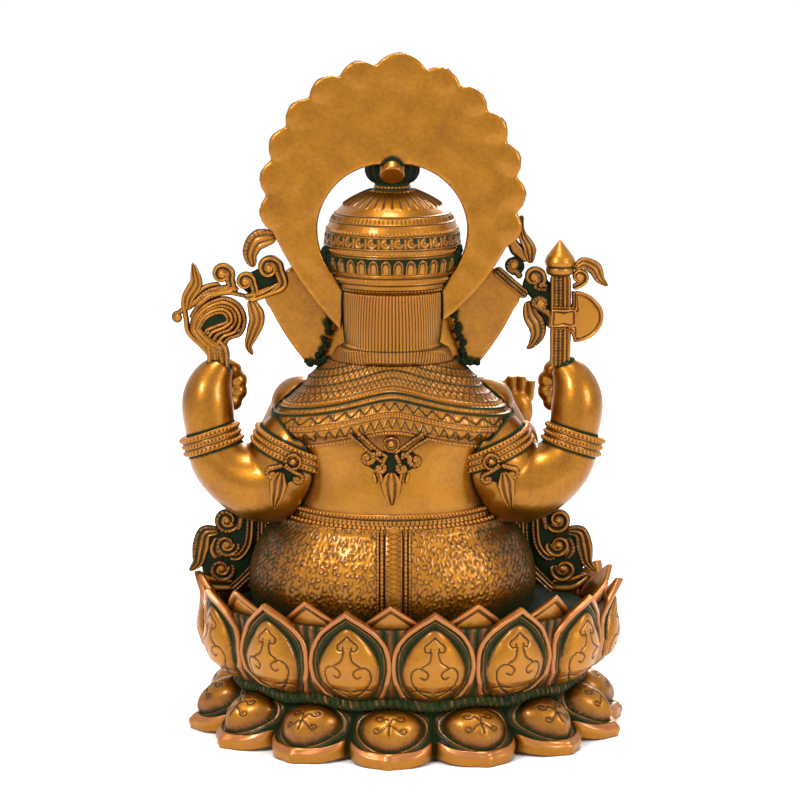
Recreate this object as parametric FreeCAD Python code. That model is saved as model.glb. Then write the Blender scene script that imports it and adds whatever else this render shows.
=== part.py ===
import FreeCAD, Part

# A cast brass four-armed elephant-headed figure, seated in a double lotus, with a scalloped
# aureole behind its crown. Millimetres, +Z up, the figure faces -Y. The origin is on the resting
# plane below the middle of the whole object. Every function below makes one sub-part.

import math
import os

# ---- driving dimensions -------------------------------------------------------------------
HEIGHT = 450.0           # resting plane to the top of the aureole
FIGURE_X = 5.0           # the figure sits a little to +X of the middle, as hand-fitted castings do
LOTUS_X = -5.0           # and the lotus a little to -X
WALL = 3.5               # casting wall thickness

PETALS = 14
PITCH = 360.0 / PETALS
OVAL_EVEN = 0.05
LOTUS_TURN = -5.0        # degrees by which the petals are turned from the back's middle
FOOT_A = 147.0           # half-width of the lotus over the lower petal tips
FOOT_B = 102.0           # half-depth of the lotus over the lower petal tips
SKIRT_TOP = 33.0
WAIST_TOP = 42.0
CUP_RIM = 88.0
PETAL_TIP = 102.0
REAR_TIP = 109.5
SEAT_Z = 77.0
SEAT_THICK = 4.0
SEAT_TOP = SEAT_Z + SEAT_THICK

FRONT_PETAL = 5.0        # thickness of the outer row of petals
REAR_PETAL = 4.0         # thickness of the row behind it

# heights of the cup's bulging profile and its share of FOOT_A and FOOT_B there
CUP_PROFILE = [(38.0, 0.78), (44.0, 0.85), (54.0, 0.905), (66.0, 0.92), (80.0, 0.91), (92.0, 0.925),
               (112.0, 0.98)]
# heights of the skirt's drooping profile and its share of FOOT_A and FOOT_B there
SKIRT_PROFILE = [(0.0, 1.0), (8.0, 1.0), (15.0, 0.93), (24.0, 0.83), (SKIRT_TOP, 0.745)]

# torso sections: height, half-width, half-depth, middle in Y
TORSO = [(146.0, 73.0, 61.0, -4.0), (158.0, 71.0, 64.0, -8.0), (175.0, 68.0, 62.0, -7.0),
         (193.0, 73.0, 53.0, 0.0), (206.0, 78.0, 45.0, 6.0), (220.0, 71.0, 39.0, 8.0),
         (234.0, 55.0, 35.0, 7.0), (250.0, 38.0, 32.0, 6.0)]
HIPS = [(SEAT_TOP, 90.0, 60.0, 8.0), (95.0, 95.0, 64.0, 7.0), (112.0, 95.0, 66.0, 5.0),
        (130.0, 88.0, 65.0, 1.0), (146.0, 75.0, 62.0, -4.0)]
SHAWL_LOW = 208.0        # height of the shawl's hem at the middle of the back
SHAWL_DROP = 325.0       # radius by which the hem curves down towards the arms
SHAWL_HIGH = 250.0
COLLAR = [(250.4, 41.0, 35.0, 6.0), (256.0, 38.5, 37.0, 7.0), (261.0, 35.0, 38.5, 8.5)]
SHAWL_THICK = 3.0

# rear arm: centre points and radii from the shoulder to the elbow, and on to the wrist
REAR_UPPER_ARM = [((48.0, 8.0, 216.0), 20.0), ((58.0, 10.0, 200.0), 26.0), ((68.0, 12.0, 182.0), 28.5),
                  ((76.0, 13.0, 168.0), 26.0)]
REAR_FOREARM = [((74.0, 13.0, 170.0), 26.5), ((88.0, 13.0, 168.5), 26.0), ((103.0, 13.0, 174.0), 22.5),
                ((114.0, 12.0, 184.5), 19.5), ((119.0, 10.0, 197.0), 17.0)]
ARMLET_CENTRE = (63.0, 11.0, 191.0)
ARMLET_AXIS = (0.383, 0.0, -0.923)
ARMLET_RADIUS = 30.5
REAR_HAND = [((119.0, 10.0, 197.0), 16.5), ((121.0, 8.0, 212.0), 17.0), ((121.0, 6.0, 226.0), 16.5),
             ((117.0, 4.0, 238.0), 13.0), ((111.0, 3.0, 246.0), 8.0)]

CROWN_Y = -2.0
CROWN_BASE = 296.0
# crown profile: radius and height
CROWN = [(37.0, 296.0), (41.0, 303.0), (43.5, 313.0), (44.5, 325.0), (43.0, 335.0), (37.0, 346.0),
         (27.0, 354.0), (14.0, 360.0)]
FINIAL = [(13.0, 360.0), (11.5, 364.0), (14.5, 367.0), (17.5, 373.0), (16.5, 377.0), (11.0, 380.0),
          (12.0, 385.0), (9.0, 392.0), (2.5, 399.0)]
HEAD_CENTRE = (0.0, -14.0, 284.0)
HEAD_RADII = (36.0, 38.0, 38.0)

AUREOLE_Y = 14.0
AUREOLE_THICK = 6.0
AUREOLE_Z = HEIGHT - 92.6  # middle of the scalloped outline
AUREOLE_NOTCH = 80.5     # radius of the notches between lobes
AUREOLE_TURN = -3.9      # degrees by which the lobes lean
TOP_LOBE = 22.6          # degrees that the top lobe spans
SIDE_LOBE = 16.4         # degrees that every other lobe spans
SIDE_LOBES = 6
OPENING_Z = 341.0
OPENING_A = 48.0
OPENING_B = 37.0

UP = FreeCAD.Vector(0, 0, 1)
PARTS = {}


# ---- small tools ----------------------------------------------------------------------------
def vec(x, y, z):
    return FreeCAD.Vector(x, y, z)


def ellipse_at(x, y, z, half_x, half_y):
    """A closed ellipse wire parallel to the resting plane."""
    if half_x >= half_y:
        curve = Part.Ellipse(vec(x + half_x, y, z), vec(x, y + half_y, z), vec(x, y, z))
    else:
        curve = Part.Ellipse(vec(x, y + half_y, z), vec(x - half_x, y, z), vec(x, y, z))
    return Part.Wire(curve.toShape())


def circle_wire(centre, normal, radius):
    return Part.Wire(Part.Circle(vec(*centre), vec(*normal), radius).toShape())


def limb(stations):
    """A smooth round solid through (centre, radius) stations."""
    points = [vec(*centre) for centre, radius in stations]
    wires = []
    for index, (centre, radius) in enumerate(stations):
        before = points[max(index - 1, 0)]
        after = points[min(index + 1, len(points) - 1)]
        wires.append(circle_wire(centre, tuple(after - before), radius))
    return Part.makeLoft(wires, True, False)


def mirrored(stations):
    return [((-x, y, z), radius) for (x, y, z), radius in stations]


def ellipsoid(centre, radii):
    scale = FreeCAD.Matrix()
    scale.scale(vec(*radii))
    shape = Part.makeSphere(1.0).transformGeometry(scale)
    shape.translate(vec(*centre))
    return shape


def ball(centre, radius):
    return Part.makeSphere(radius, vec(*centre))


def rod(start, end, radius, end_radius=None):
    """A straight round bar or a cone between two points."""
    axis = vec(*end) - vec(*start)
    if end_radius is None or abs(end_radius - radius) < 1e-6:
        return Part.makeCylinder(radius, axis.Length, vec(*start), axis)
    return Part.makeCone(radius, end_radius, axis.Length, vec(*start), axis)


def collar(centre, axis, outer, length):
    """A short cylinder centred on a limb, from which the limb is then cut."""
    direction = vec(*axis)
    direction.normalize()
    start = vec(*centre) - direction * (length / 2)
    return Part.makeCylinder(outer, length, start, direction)


def turned(profile, x, y):
    """A solid of revolution about a vertical axis through x, y; its profile is (radius, height) points."""
    curve = Part.BSplineCurve()
    curve.interpolate([vec(radius, 0, height) for radius, height in profile])
    first = profile[0][1]
    last = profile[-1][1]
    edges = [Part.LineSegment(vec(0, 0, first), vec(profile[0][0], 0, first)).toShape(), curve.toShape(),
             Part.LineSegment(vec(profile[-1][0], 0, last), vec(0, 0, last)).toShape(),
             Part.LineSegment(vec(0, 0, last), vec(0, 0, first)).toShape()]
    solid = Part.Face(Part.Wire(edges)).revolve(vec(0, 0, 0), UP, 360)
    solid.translate(vec(x, y, 0))
    return solid


def plate(points, y, thickness):
    """An upright plate in the XZ plane from an outline of (start, middle, end) arcs or (start, end) lines."""
    edges = []
    for piece in points:
        ends = [vec(x, y, z) for x, z in piece]
        if len(ends) == 3:
            edges.append(Part.Arc(*ends).toShape())
        else:
            edges.append(Part.LineSegment(*ends).toShape())
    return Part.Face(Part.Wire(edges)).extrude(vec(0, thickness, 0))


def disc(x, z, radius, y, thickness):
    return Part.makeCylinder(radius, thickness, vec(x, y, z), vec(0, 1, 0))


def bar(start, end, width, y, thickness):
    """A flat upright bar between two (x, z) points, with round ends."""
    run = math.hypot(end[0] - start[0], end[1] - start[1])
    body = Part.makeBox(run, thickness, width, vec(0, 0, -width / 2))
    angle = math.degrees(math.atan2(end[1] - start[1], end[0] - start[0]))
    body.rotate(vec(0, 0, 0), vec(0, 1, 0), -angle)
    body.translate(vec(start[0], y, start[1]))
    ends = [disc(start[0], start[1], width / 2, y, thickness), disc(end[0], end[1], width / 2, y, thickness)]
    return body.fuse(ends)


def fused(shapes):
    """One solid from several that overlap."""
    return shapes[0].fuse(shapes[1:]).removeSplitter()


def without(shape, *others):
    for other in others:
        shape = shape.cut(other)
    return shape


def keep(name, shape, shift):
    """Stores a node's solids, moved to their place in the whole, largest first and slivers dropped."""
    solids = sorted(shape.Solids, key=lambda solid: -solid.Volume)
    solids = [solid for solid in solids if solid.Volume > 0.05 * solids[0].Volume]
    group = solids[0] if len(solids) == 1 else Part.makeCompound(solids)
    group = group.copy()
    group.translate(vec(shift, 0, 0))
    PARTS[name] = group


# ---- lotus ----------------------------------------------------------------------------------
def share_at(profile, z):
    """The profile's share at a height, on straight lines between its points."""
    for (z0, s0), (z1, s1) in zip(profile, profile[1:]):
        if z0 <= z <= z1:
            return s0 + (s1 - s0) * (z - z0) / (z1 - z0)
    return profile[0][1] if z < profile[0][0] else profile[-1][1]


def lotus_body(profile, inset, low, high):
    """A solid with the lotus's oval plan and a profile, drawn in by inset, between two heights."""
    heights = [low] + [z for z, share in profile if low < z < high] + [high]
    wires = []
    for z in heights:
        share = share_at(profile, z)
        wires.append(ellipse_at(0, 0, z, FOOT_A * share - inset, FOOT_B * share - inset))
    return Part.makeLoft(wires, True, True)


def on_oval(share, angle, z):
    """A point of the lotus's plan; the angle runs from the back's middle (+Y) towards -X."""
    turn = math.radians(angle)
    return vec(-FOOT_A * share * math.sin(turn), FOOT_B * share * math.cos(turn), z)


def petal_plan():
    """The pointed scalloped outline of the lower petals, as a tall prism."""
    edges = []
    for number in range(PETALS):
        middle = LOTUS_TURN + number * PITCH
        valley = on_oval(0.87, middle - PITCH / 2, 0)
        tip = on_oval(1.0, middle, 0)
        after = on_oval(0.87, middle + PITCH / 2, 0)
        edges.append(Part.Arc(valley, on_oval(0.965, middle - PITCH * 0.27, 0), tip).toShape())
        edges.append(Part.Arc(tip, on_oval(0.965, middle + PITCH * 0.27, 0), after).toShape())
    return Part.Face(Part.Wire(edges)).extrude(vec(0, 0, SKIRT_TOP))


def lower_lotus():
    """The drooping lower row: a skirt cut to the petals' outline, a dome on each petal, hollow below."""
    body = lotus_body(SKIRT_PROFILE, 0, 0, SKIRT_TOP).common(petal_plan())
    domes = []
    for number in range(PETALS):
        middle = LOTUS_TURN + number * PITCH
        centre = on_oval(0.82, middle, 12.0)
        domes.append(Part.makeSphere(16.0, centre))
    body = body.fuse(domes)
    above = Part.makeBox(400, 400, SKIRT_TOP, vec(-200, -200, 0))
    hollow = lotus_body([(-1.0, 0.85), (18.0, 0.78), (SKIRT_TOP + 1, 0.70)], 0, -1.0, SKIRT_TOP + 1)
    return body.common(above).cut(hollow)


def lotus_waist():
    """The beaded ring between the two rows."""
    outer = lotus_body([(SKIRT_TOP, 0.745), (37.0, 0.735), (WAIST_TOP, 0.76)], 0, SKIRT_TOP, WAIST_TOP)
    inner = lotus_body([(SKIRT_TOP - 1, 0.70), (WAIST_TOP + 1, 0.70)], 0, SKIRT_TOP - 1, WAIST_TOP + 1)
    return outer.cut(inner)


def cup_shell(outer_inset, inner_inset, low, high):
    outside = lotus_body(CUP_PROFILE, outer_inset, low, high)
    inside = lotus_body(CUP_PROFILE, inner_inset, low, high)
    return outside.cut(inside)


def petal_angle(step):
    """Where a petal of the upper rows stands: their gaps are even along the oval, and so closer at the back."""
    turn = math.radians(LOTUS_TURN + step * PITCH)
    return math.degrees(turn - OVAL_EVEN * math.sin(2 * turn))


def leaf_prism(angle, foot, belly, tip, width_share, foot_share):
    """A leaf outline seen along the lotus's outward direction, as a prism that crosses the petal rows."""
    turn = math.radians(angle)
    tangent = vec(-FOOT_A * math.cos(turn), -FOOT_B * math.sin(turn), 0)
    half = math.radians(PITCH / 2) * tangent.Length * 0.92 * (1 - 2 * OVAL_EVEN * math.cos(2 * turn))
    tangent.normalize()
    outward = vec(-tangent.y, tangent.x, 0)
    centre = on_oval(0.9, angle, 0)
    if outward.dot(centre) < 0:
        outward = outward * -1
    start = centre - outward * 24

    def point(across, z):
        return start + tangent * (across * half) + UP * z

    top = belly + (tip - belly) * 0.55
    edges = [Part.LineSegment(point(-foot_share, foot), point(foot_share, foot)).toShape()]
    for side in (1, -1):
        rise = Part.Arc(point(side * foot_share, foot), point(side * width_share * 0.9, (foot + belly) / 2),
                        point(side * width_share, belly))
        close = Part.Arc(point(side * width_share, belly), point(side * width_share * 0.66, top),
                         point(0, tip))
        edges.extend([rise.toShape(), close.toShape()])
    outline = Part.Wire(Part.sortEdges(edges)[0])
    return Part.Face(outline).extrude(outward * 48)


def petal_row(outer_inset, inner_inset, angles, foot, belly, tip, width_share, foot_share):
    shell = cup_shell(outer_inset, inner_inset, CUP_PROFILE[0][0], CUP_PROFILE[-1][0])
    cuts = [shell.common(leaf_prism(angle, foot, belly, tip, width_share, foot_share)) for angle in angles]
    return Part.makeCompound([max(cut.Solids, key=lambda solid: solid.Volume) for cut in cuts])


def upper_petals():
    angles = [petal_angle(number + 0.5) for number in range(PETALS)]
    return petal_row(0, FRONT_PETAL, angles, 39.0, 67.0, PETAL_TIP, 0.93, 0.42)


def rear_petals():
    angles = [petal_angle(number) for number in range(PETALS)]
    return petal_row(FRONT_PETAL, FRONT_PETAL + REAR_PETAL, angles, 52.0, 80.0, REAR_TIP, 0.88, 0.5)


def lotus_cup():
    inset = FRONT_PETAL + REAR_PETAL
    wall = cup_shell(inset, inset + WALL, WAIST_TOP, CUP_RIM)
    foot = lotus_body([(WAIST_TOP, 0.82), (WAIST_TOP + 4, 0.82)], inset, WAIST_TOP, WAIST_TOP + 4)
    hole = lotus_body([(WAIST_TOP - 1, 0.70), (WAIST_TOP + 5, 0.70)], 0, WAIST_TOP - 1, WAIST_TOP + 5)
    return wall.fuse(foot.cut(hole))


def seat_plate(bolt_holes):
    inset = FRONT_PETAL + REAR_PETAL + WALL
    disc_body = lotus_body(CUP_PROFILE, inset, SEAT_Z, SEAT_TOP)
    return without(disc_body, *bolt_holes)


# ---- fixings --------------------------------------------------------------------------------
BOLT_RADIUS = 5.0
BOLT_SPREAD = 45.0
BOLT_Y = 6.0
BOLT_TOP = 96.0
HEAD_ACROSS = 17.0
HEAD_HIGH = 6.4
WASHER_RADIUS = 10.0
WASHER_THICK = 2.0


def bolt_positions():
    return [vec(side * BOLT_SPREAD, BOLT_Y, 0) for side in (-1, 1)]


def fixing_bolts():
    """Two hexagon bolts that come up through the seat plate into bosses in the figure's floor."""
    bolts = []
    for place in bolt_positions():
        under = SEAT_Z - WASHER_THICK
        shank = Part.makeCylinder(BOLT_RADIUS, BOLT_TOP - under, place + UP * under)
        corners = [vec(HEAD_ACROSS / math.sqrt(3) * math.cos(math.radians(60 * k)),
                       HEAD_ACROSS / math.sqrt(3) * math.sin(math.radians(60 * k)), 0) for k in range(7)]
        head = Part.Face(Part.makePolygon(corners)).extrude(UP * HEAD_HIGH)
        head.translate(place + UP * (under - HEAD_HIGH))
        bolts.append(shank.fuse(head))
    return Part.makeCompound(bolts)


def fixing_washers():
    rings = []
    for place in bolt_positions():
        outer = Part.makeCylinder(WASHER_RADIUS, WASHER_THICK, place + UP * (SEAT_Z - WASHER_THICK))
        rings.append(outer.cut(Part.makeCylinder(BOLT_RADIUS, 20, place + UP * (SEAT_Z - 10))))
    return Part.makeCompound(rings)


# ---- figure ---------------------------------------------------------------------------------
def sections(table, inset=0.0):
    return Part.makeLoft([ellipse_at(0, y, z, a - inset, b - inset) for z, a, b, y in table], True, False)


def slab(low, high):
    """Everything between two heights."""
    return Part.makeBox(400, 400, high - low, vec(-200, -200, low))


def hips_shape():
    return sections(HIPS)


def hips():
    """The dhoti-covered seat of the figure: a hollow casting with a floor and two bolt bosses."""
    body = hips_shape()
    floor = HIPS[0][0] + WALL
    core = sections([(floor, HIPS[0][1], HIPS[0][2], HIPS[0][3])] + HIPS[1:], WALL)
    core = core.fuse(Part.makeCylinder(50, 10, vec(0, HIPS[-1][3], HIPS[-1][0] - 4)))
    body = body.cut(core)
    for place in bolt_positions():
        body = body.fuse(Part.makeCylinder(10, BOLT_TOP + 4 - floor + 1, place + UP * (floor - 1)))
        body = body.cut(Part.makeCylinder(BOLT_RADIUS, BOLT_TOP - SEAT_TOP + 1, place + UP * (SEAT_TOP - 1)))
    return body


def torso_shape():
    return sections(TORSO)


def torso():
    """The belly, back and shoulders: a hollow casting, open below."""
    core = sections(TORSO[:-1], WALL)
    return torso_shape().cut(core)


def knee_point(side):
    return (side * 84.0, -34.0, SEAT_TOP + 20.0)


def ankle_point(side):
    return (side * 27.0, -66.0, SEAT_TOP + 14.0)


def leg_shape(side):
    """Thigh, knee and folded shin of one crossed leg."""
    hip = (side * 44.0, 2.0, 108.0)
    return fused([rod(hip, knee_point(side), 26.0, 20.0), ball(knee_point(side), 20.0),
                  rod(knee_point(side), ankle_point(side), 19.0, 12.0)])


def foot_shape(side):
    return ellipsoid((side * 8.0, -72.0, SEAT_TOP + 15.0 + 5.0 * side), (21.0, 9.0, 9.5))


def anklet(side):
    axis = tuple(b - a for a, b in zip(knee_point(side), ankle_point(side)))
    centre = tuple(b - 0.13 * d for b, d in zip(ankle_point(side), axis))
    return collar(centre, axis, 14.0, 7.0)


def waist_belt():
    """The beaded girdle: a ring round the join of torso and hips."""
    outer = sections(TORSO, -2.5).common(slab(TORSO[0][0], TORSO[0][0] + 10))
    return outer.cut(torso_shape())


def back_sash():
    """The tail of the belt, which hangs down the middle of the back."""
    strip = Part.makeBox(22, 40, 146 - SEAT_TOP, vec(-11, 40, SEAT_TOP))
    outer = sections(HIPS, -2.5)
    return outer.common(strip).cut(hips_shape())


def shawl_shape():
    body = sections(TORSO, -SHAWL_THICK).common(slab(SHAWL_LOW - 14, SHAWL_HIGH))
    hem = Part.makeCylinder(SHAWL_DROP, 300, vec(0, -150, SHAWL_LOW - SHAWL_DROP), vec(0, 1, 0))
    return body.cut(hem)


def back_pendant():
    """The counterweight of the necklace, lying on the back below the shawl."""
    outline = plate([((-24.0, SHAWL_LOW), (24.0, SHAWL_LOW)),
                     ((24.0, SHAWL_LOW), (22.0, 183.0), (6.0, 178.0)),
                     ((6.0, 178.0), (5.0, 170.0), (0.0, 166.0)), ((0.0, 166.0), (-5.0, 170.0), (-6.0, 178.0)),
                     ((-6.0, 178.0), (-22.0, 183.0), (-24.0, SHAWL_LOW))], 30, 60)
    return sections(TORSO, -3.0).common(outline)


def rear_arm(side):
    """Upper arm that hangs from the shoulder, elbow, and forearm that rises to the wrist."""
    upper = REAR_UPPER_ARM if side > 0 else mirrored(REAR_UPPER_ARM)
    lower = REAR_FOREARM if side > 0 else mirrored(REAR_FOREARM)
    elbow = ball((side * 77.0, 13.0, 168.5), 26.5)
    return fused([limb(upper), elbow, limb(lower)])


def rear_hand_shape(side):
    palm = limb(REAR_HAND if side > 0 else mirrored(REAR_HAND))
    knuckles = ((107, -6, 240, 7.5), (103, -8, 233, 7.0), (103, -8, 226, 7.0), (106, -7, 219, 6.5))
    fingers = [ball((side * x, y, z), radius) for x, y, z, radius in knuckles]
    return fused([palm] + fingers)


def rear_bracelet(side):
    return collar((side * 119.0, 10.0, 197.0), (side * 0.3, -0.1, 0.95), 20.0, 13.0)


def armlet(side):
    x, y, z = ARMLET_CENTRE
    across, away, down = ARMLET_AXIS
    return collar((side * x, y, z), (side * across, away, down), ARMLET_RADIUS, 12.0)


def front_arm_shape(side):
    if side > 0:
        elbow = (84.0, -38.0, 172.0)
        wrist = (60.0, -78.0, 164.0)
    else:
        elbow = (-86.0, -34.0, 174.0)
        wrist = (-85.0, -66.0, 184.0)
    shoulder = (side * 62.0, -12.0, 216.0)
    return fused([ball(shoulder, 19.0), rod(shoulder, elbow, 18.0, 16.0), ball(elbow, 16.0),
                  rod(elbow, wrist, 15.0, 10.5)])


def front_wrist(side):
    if side > 0:
        return (64.0, -71.0, 165.5), (-24.0, -40.0, -8.0)
    return (-85.2, -60.5, 182.2), (1.0, -32.0, 10.0)


def front_hand_shape(side):
    if side > 0:
        return ellipsoid((51.0, -86.0, 163.0), (15.0, 10.0, 7.0))
    palm = ellipsoid((-85.0, -72.0, 200.0), (12.0, 6.5, 15.0))
    fingers = [rod((-85.0 + dx, -73.0, 208.0), (-85.0 + dx * 1.15, -73.0, 226.0 - abs(dx) * 0.5), 3.4)
               for dx in (-9.0, -3.0, 3.0, 9.0)]
    return fused([palm] + fingers)


def sweet_bowl():
    return Part.makeCone(9.0, 15.0, 10.0, vec(50.0, -87.0, 169.0))


def sweets():
    """Small round sweets heaped in the bowl; each is its own solid resting on the rim."""
    drop = [(4.0, 179.0), (5.6, 182.0), (4.4, 185.0), (2.0, 188.0), (0.7, 191.0)]
    places = [math.radians(30 + 120 * k) for k in range(3)]
    return Part.makeCompound([turned(drop, 50 + 7.5 * math.cos(a), -87 + 7.5 * math.sin(a)) for a in places])


# ---- head -----------------------------------------------------------------------------------
def head_shape():
    neck = rod((0, 0, 250.0), (0, -4, 270.0), 30.0, 30.0)
    jaw = ellipsoid((0, -34.0, 270.0), (24.0, 22.0, 22.0))
    brow = [ball((side * 14.0, -30.0, 292.0), 19.0) for side in (-1, 1)]
    return fused([ellipsoid(HEAD_CENTRE, HEAD_RADII), neck, jaw] + brow)


def head_core():
    """The hollow inside the head, which opens into the crown above."""
    return ellipsoid(HEAD_CENTRE, tuple(radius - WALL - 2.0 for radius in HEAD_RADII))


def trunk_shape():
    return limb([((0, -46, 280), 17.0), ((0, -60, 266), 16.0), ((0, -72, 248), 14.0), ((2, -80, 226), 12.0),
                 ((8, -86, 206), 10.5), ((20, -90, 191), 9.0), ((34, -92, 187), 7.5), ((43, -90, 194), 6.0)])


def tusk(side):
    tip = (side * 31.0, -76.0, 252.0) if side > 0 else (side * 26.0, -66.0, 255.0)
    return rod((side * 17.0, -44.0, 264.0), tip, 5.0, 1.6 if side > 0 else 3.2)


def ear(side):
    """A broad fan that opens from the side of the head, thicker at its root."""
    outline = [((34, 254), (46, 245), (57, 246)), ((57, 246), (70, 264), (81, 284)),
               ((81, 284), (84, 291), (79, 298)), ((79, 298), (66, 310), (46, 314)),
               ((46, 314), (36, 288), (34, 254))]
    shaped = plate([tuple((side * x, z) for x, z in piece) for piece in outline], -7.0, 8.0)
    shaped.rotate(vec(side * 34.0, -3.0, 280.0), UP, side * 8.0)
    return shaped


def hair_shape():
    """The ribbed fall of hair between crown and collar."""
    rows = [(252.0, 30.0, 36.0, 10.0), (262.0, 31.5, 37.0, 9.0), (276.0, 33.0, 37.0, 8.0),
            (CROWN_BASE, 34.0, 36.0, 6.0)]
    fall = Part.makeLoft([ellipse_at(0, y, z, a, b) for z, a, b, y in rows], True, False)
    collar = Part.makeLoft([ellipse_at(0, y, z, a, b) for z, a, b, y in COLLAR], True, False)
    return fall.fuse(collar)


def crown_shape():
    return turned(CROWN, 0, CROWN_Y)


def crown():
    core = turned([(33.0, 295.0), (37.0, 303.0), (39.5, 313.0), (40.0, 325.0), (38.0, 335.0), (30.0, 346.0),
                   (10.0, 354.0)], 0, CROWN_Y)
    return crown_shape().cut(core)


def crown_finial():
    return turned(FINIAL, 0, CROWN_Y)


def crown_crest():
    """The leaf-shaped crest on the crown's front."""
    leaf = plate([((-17, 299), (17, 299)), ((17, 299), (20, 318), (12, 334)), ((12, 334), (5, 341), (0, 352)),
                  ((0, 352), (-5, 341), (-12, 334)), ((-12, 334), (-20, 318), (-17, 299))], -51.0, 20.0)
    return leaf.cut(crown_shape())


# ---- aureole --------------------------------------------------------------------------------
def aureole_point(angle, radius):
    """Angle in degrees from straight up, positive towards +X; the outline is a little taller than wide."""
    turn = math.radians(angle)
    tall = 1.0 + 0.045 * max(0.0, math.cos(turn)) ** 3
    return radius * tall * math.sin(turn), AUREOLE_Z + radius * tall * math.cos(turn)


def lobe_edges():
    """Notch angles from the -X side over the top to the +X side."""
    top = [AUREOLE_TURN - TOP_LOBE / 2, AUREOLE_TURN + TOP_LOBE / 2]
    left = [top[0] - SIDE_LOBE * k for k in range(SIDE_LOBES, 0, -1)]
    right = [top[1] + SIDE_LOBE * k for k in range(1, SIDE_LOBES + 1)]
    return left + top + right


def lobe_height(span):
    return AUREOLE_NOTCH + span * 0.34


def aureole_shape():
    notches = lobe_edges()
    outline = []
    for first, second in zip(notches, notches[1:]):
        span = second - first
        crest = aureole_point((first + second) / 2, lobe_height(span))
        outline.append((aureole_point(first, AUREOLE_NOTCH), crest, aureole_point(second, AUREOLE_NOTCH)))
    left = outline[0][0]
    right = outline[-1][-1]
    tip = 270.0
    inner = 31.0
    outline.append((right, (62.0, 307.0), (inner + 2, tip)))
    outline.append(((inner + 2, tip), (inner, 300.0)))
    outline.append(((inner, 300.0), (44.5, 318.0), (OPENING_A, OPENING_Z)))
    lean = math.sqrt(0.5)
    crest = (0, OPENING_Z + OPENING_B)
    outline.append(((OPENING_A, OPENING_Z), (OPENING_A * lean, OPENING_Z + OPENING_B * lean), crest))
    outline.append((crest, (-OPENING_A * lean, OPENING_Z + OPENING_B * lean), (-OPENING_A, OPENING_Z)))
    outline.append(((-OPENING_A, OPENING_Z), (-44.5, 318.0), (-inner, 300.0)))
    outline.append(((-inner, 300.0), (-inner - 1, tip + 6)))
    outline.append(((-inner - 1, tip + 6), (-62.0, 306.0), left))
    return plate(outline, AUREOLE_Y, AUREOLE_THICK)


def aureole_bosses():
    """Half-round bosses on the front of the aureole, one to a lobe."""
    notches = lobe_edges()
    bosses = []
    for first, second in zip(notches, notches[1:]):
        span = second - first
        x, z = aureole_point((first + second) / 2, lobe_height(span) - span * 0.55)
        bosses.append(ball((x, AUREOLE_Y, z), span * 0.6))
    front = Part.makeBox(400, 40, 400, vec(-200, AUREOLE_Y - 40, 100))
    return Part.makeCompound([boss.common(front) for boss in bosses])


def aureole_lug():
    """The tongue by which the aureole is brazed to the crown's finial."""
    tongue = rod((0, AUREOLE_Y - 3, 380.0), (0, AUREOLE_Y + 6, 371.0), 8.0, 8.0)
    return tongue


# ---- held emblems and scrolls -----------------------------------------------------------------
VINE_Y = 1.0
VINE_THICK = 8.0


def flat_group(discs, bars, y, thickness):
    shapes = [disc(x, z, radius, y, thickness) for x, z, radius in discs]
    shapes += [bar(start, end, width, y, thickness) for start, end, width in bars]
    return fused(shapes)


def left_vine():
    return flat_group([(117, 305, 10), (97, 300, 9.5), (81, 312, 11)],
                      [((76, 291), (103, 289), 8), ((103, 289), (127, 291), 6), ((86, 322), (90, 334), 8),
                       ((97, 300), (117, 305), 6), ((81, 305), (84, 291), 7), ((72, 298), (92, 290), 7)],
                      VINE_Y, VINE_THICK)


def noose_emblem():
    """The looped cord emblem of the left hand, with a flame leaf above and below."""
    loop = ellipsoid((108, VINE_Y + 4, 272), (24, 6, 17))
    extras = flat_group([(143, 278, 6.5)], [((143, 278), (128, 268), 7), ((131, 280), (137, 309), 7),
                                           ((95, 278), (93, 258), 8), ((108, 258), (115, 243), 14)],
                        VINE_Y, VINE_THICK)
    return fused([loop, extras])


def right_vine():
    return flat_group([(-91, 302, 9.5), (-77, 312, 8), (-95, 283, 9)],
                      [((-73, 298), (-95, 286), 8), ((-93, 282), (-88, 258), 7), ((-86, 316), (-83, 346), 7),
                       ((-94, 300), (-110, 300), 6)],
                      VINE_Y, VINE_THICK)


def axe_shaft():
    return rod((-109.5, VINE_Y + 5, 306.0), (-113.5, VINE_Y + 5, 242.0), 5.5)


def axe_finial():
    onion = [(6.0, 304.0), (10.5, 309.0), (10.0, 315.0), (6.0, 322.0), (1.2, 329.0)]
    return turned(onion, -109.0, VINE_Y + 5)


def axe_blade():
    """The half-moon blade, with a small scroll and leaf on its upper corner."""
    moon = plate([((-113, 262), (-139, 276), (-118, 296)), ((-118, 296), (-113, 296)),
                  ((-113, 296), (-113, 262))], VINE_Y, 7.0)
    bars = [((-122, 304), (-137, 298), 6), ((-118, 296), (-122, 302), 8)]
    return moon.fuse(flat_group([(-122, 302, 8)], bars, VINE_Y, 7.0))


def side_scroll(side):
    """The pierced scroll bracket that stands on the seat beside the hip."""
    discs = [(side * x, z, radius) for x, z, radius in ((111, 139, 8.5), (112, 123, 8.5), (113, 108, 8.5))]
    bars = [((side * 100, 152), (side * 99, SEAT_TOP + 4.5), 9), ((side * 126, 131), (side * 129, 110), 9),
            ((side * 100, 92), (side * 113, 100), 9), ((side * 118, 133), (side * 126, 131), 6),
            ((side * 118, 101), (side * 129, 110), 6)]
    return flat_group(discs, bars, -10.0, 8.0)


def necklace():
    """A heavy bead collar, which lies over the shawl on the chest."""
    band = sections(TORSO, -SHAWL_THICK - 3.0).common(slab(212, 222))
    front = Part.makeBox(300, 100, 100, vec(-150, -105, 150))
    return band.common(front)


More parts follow.
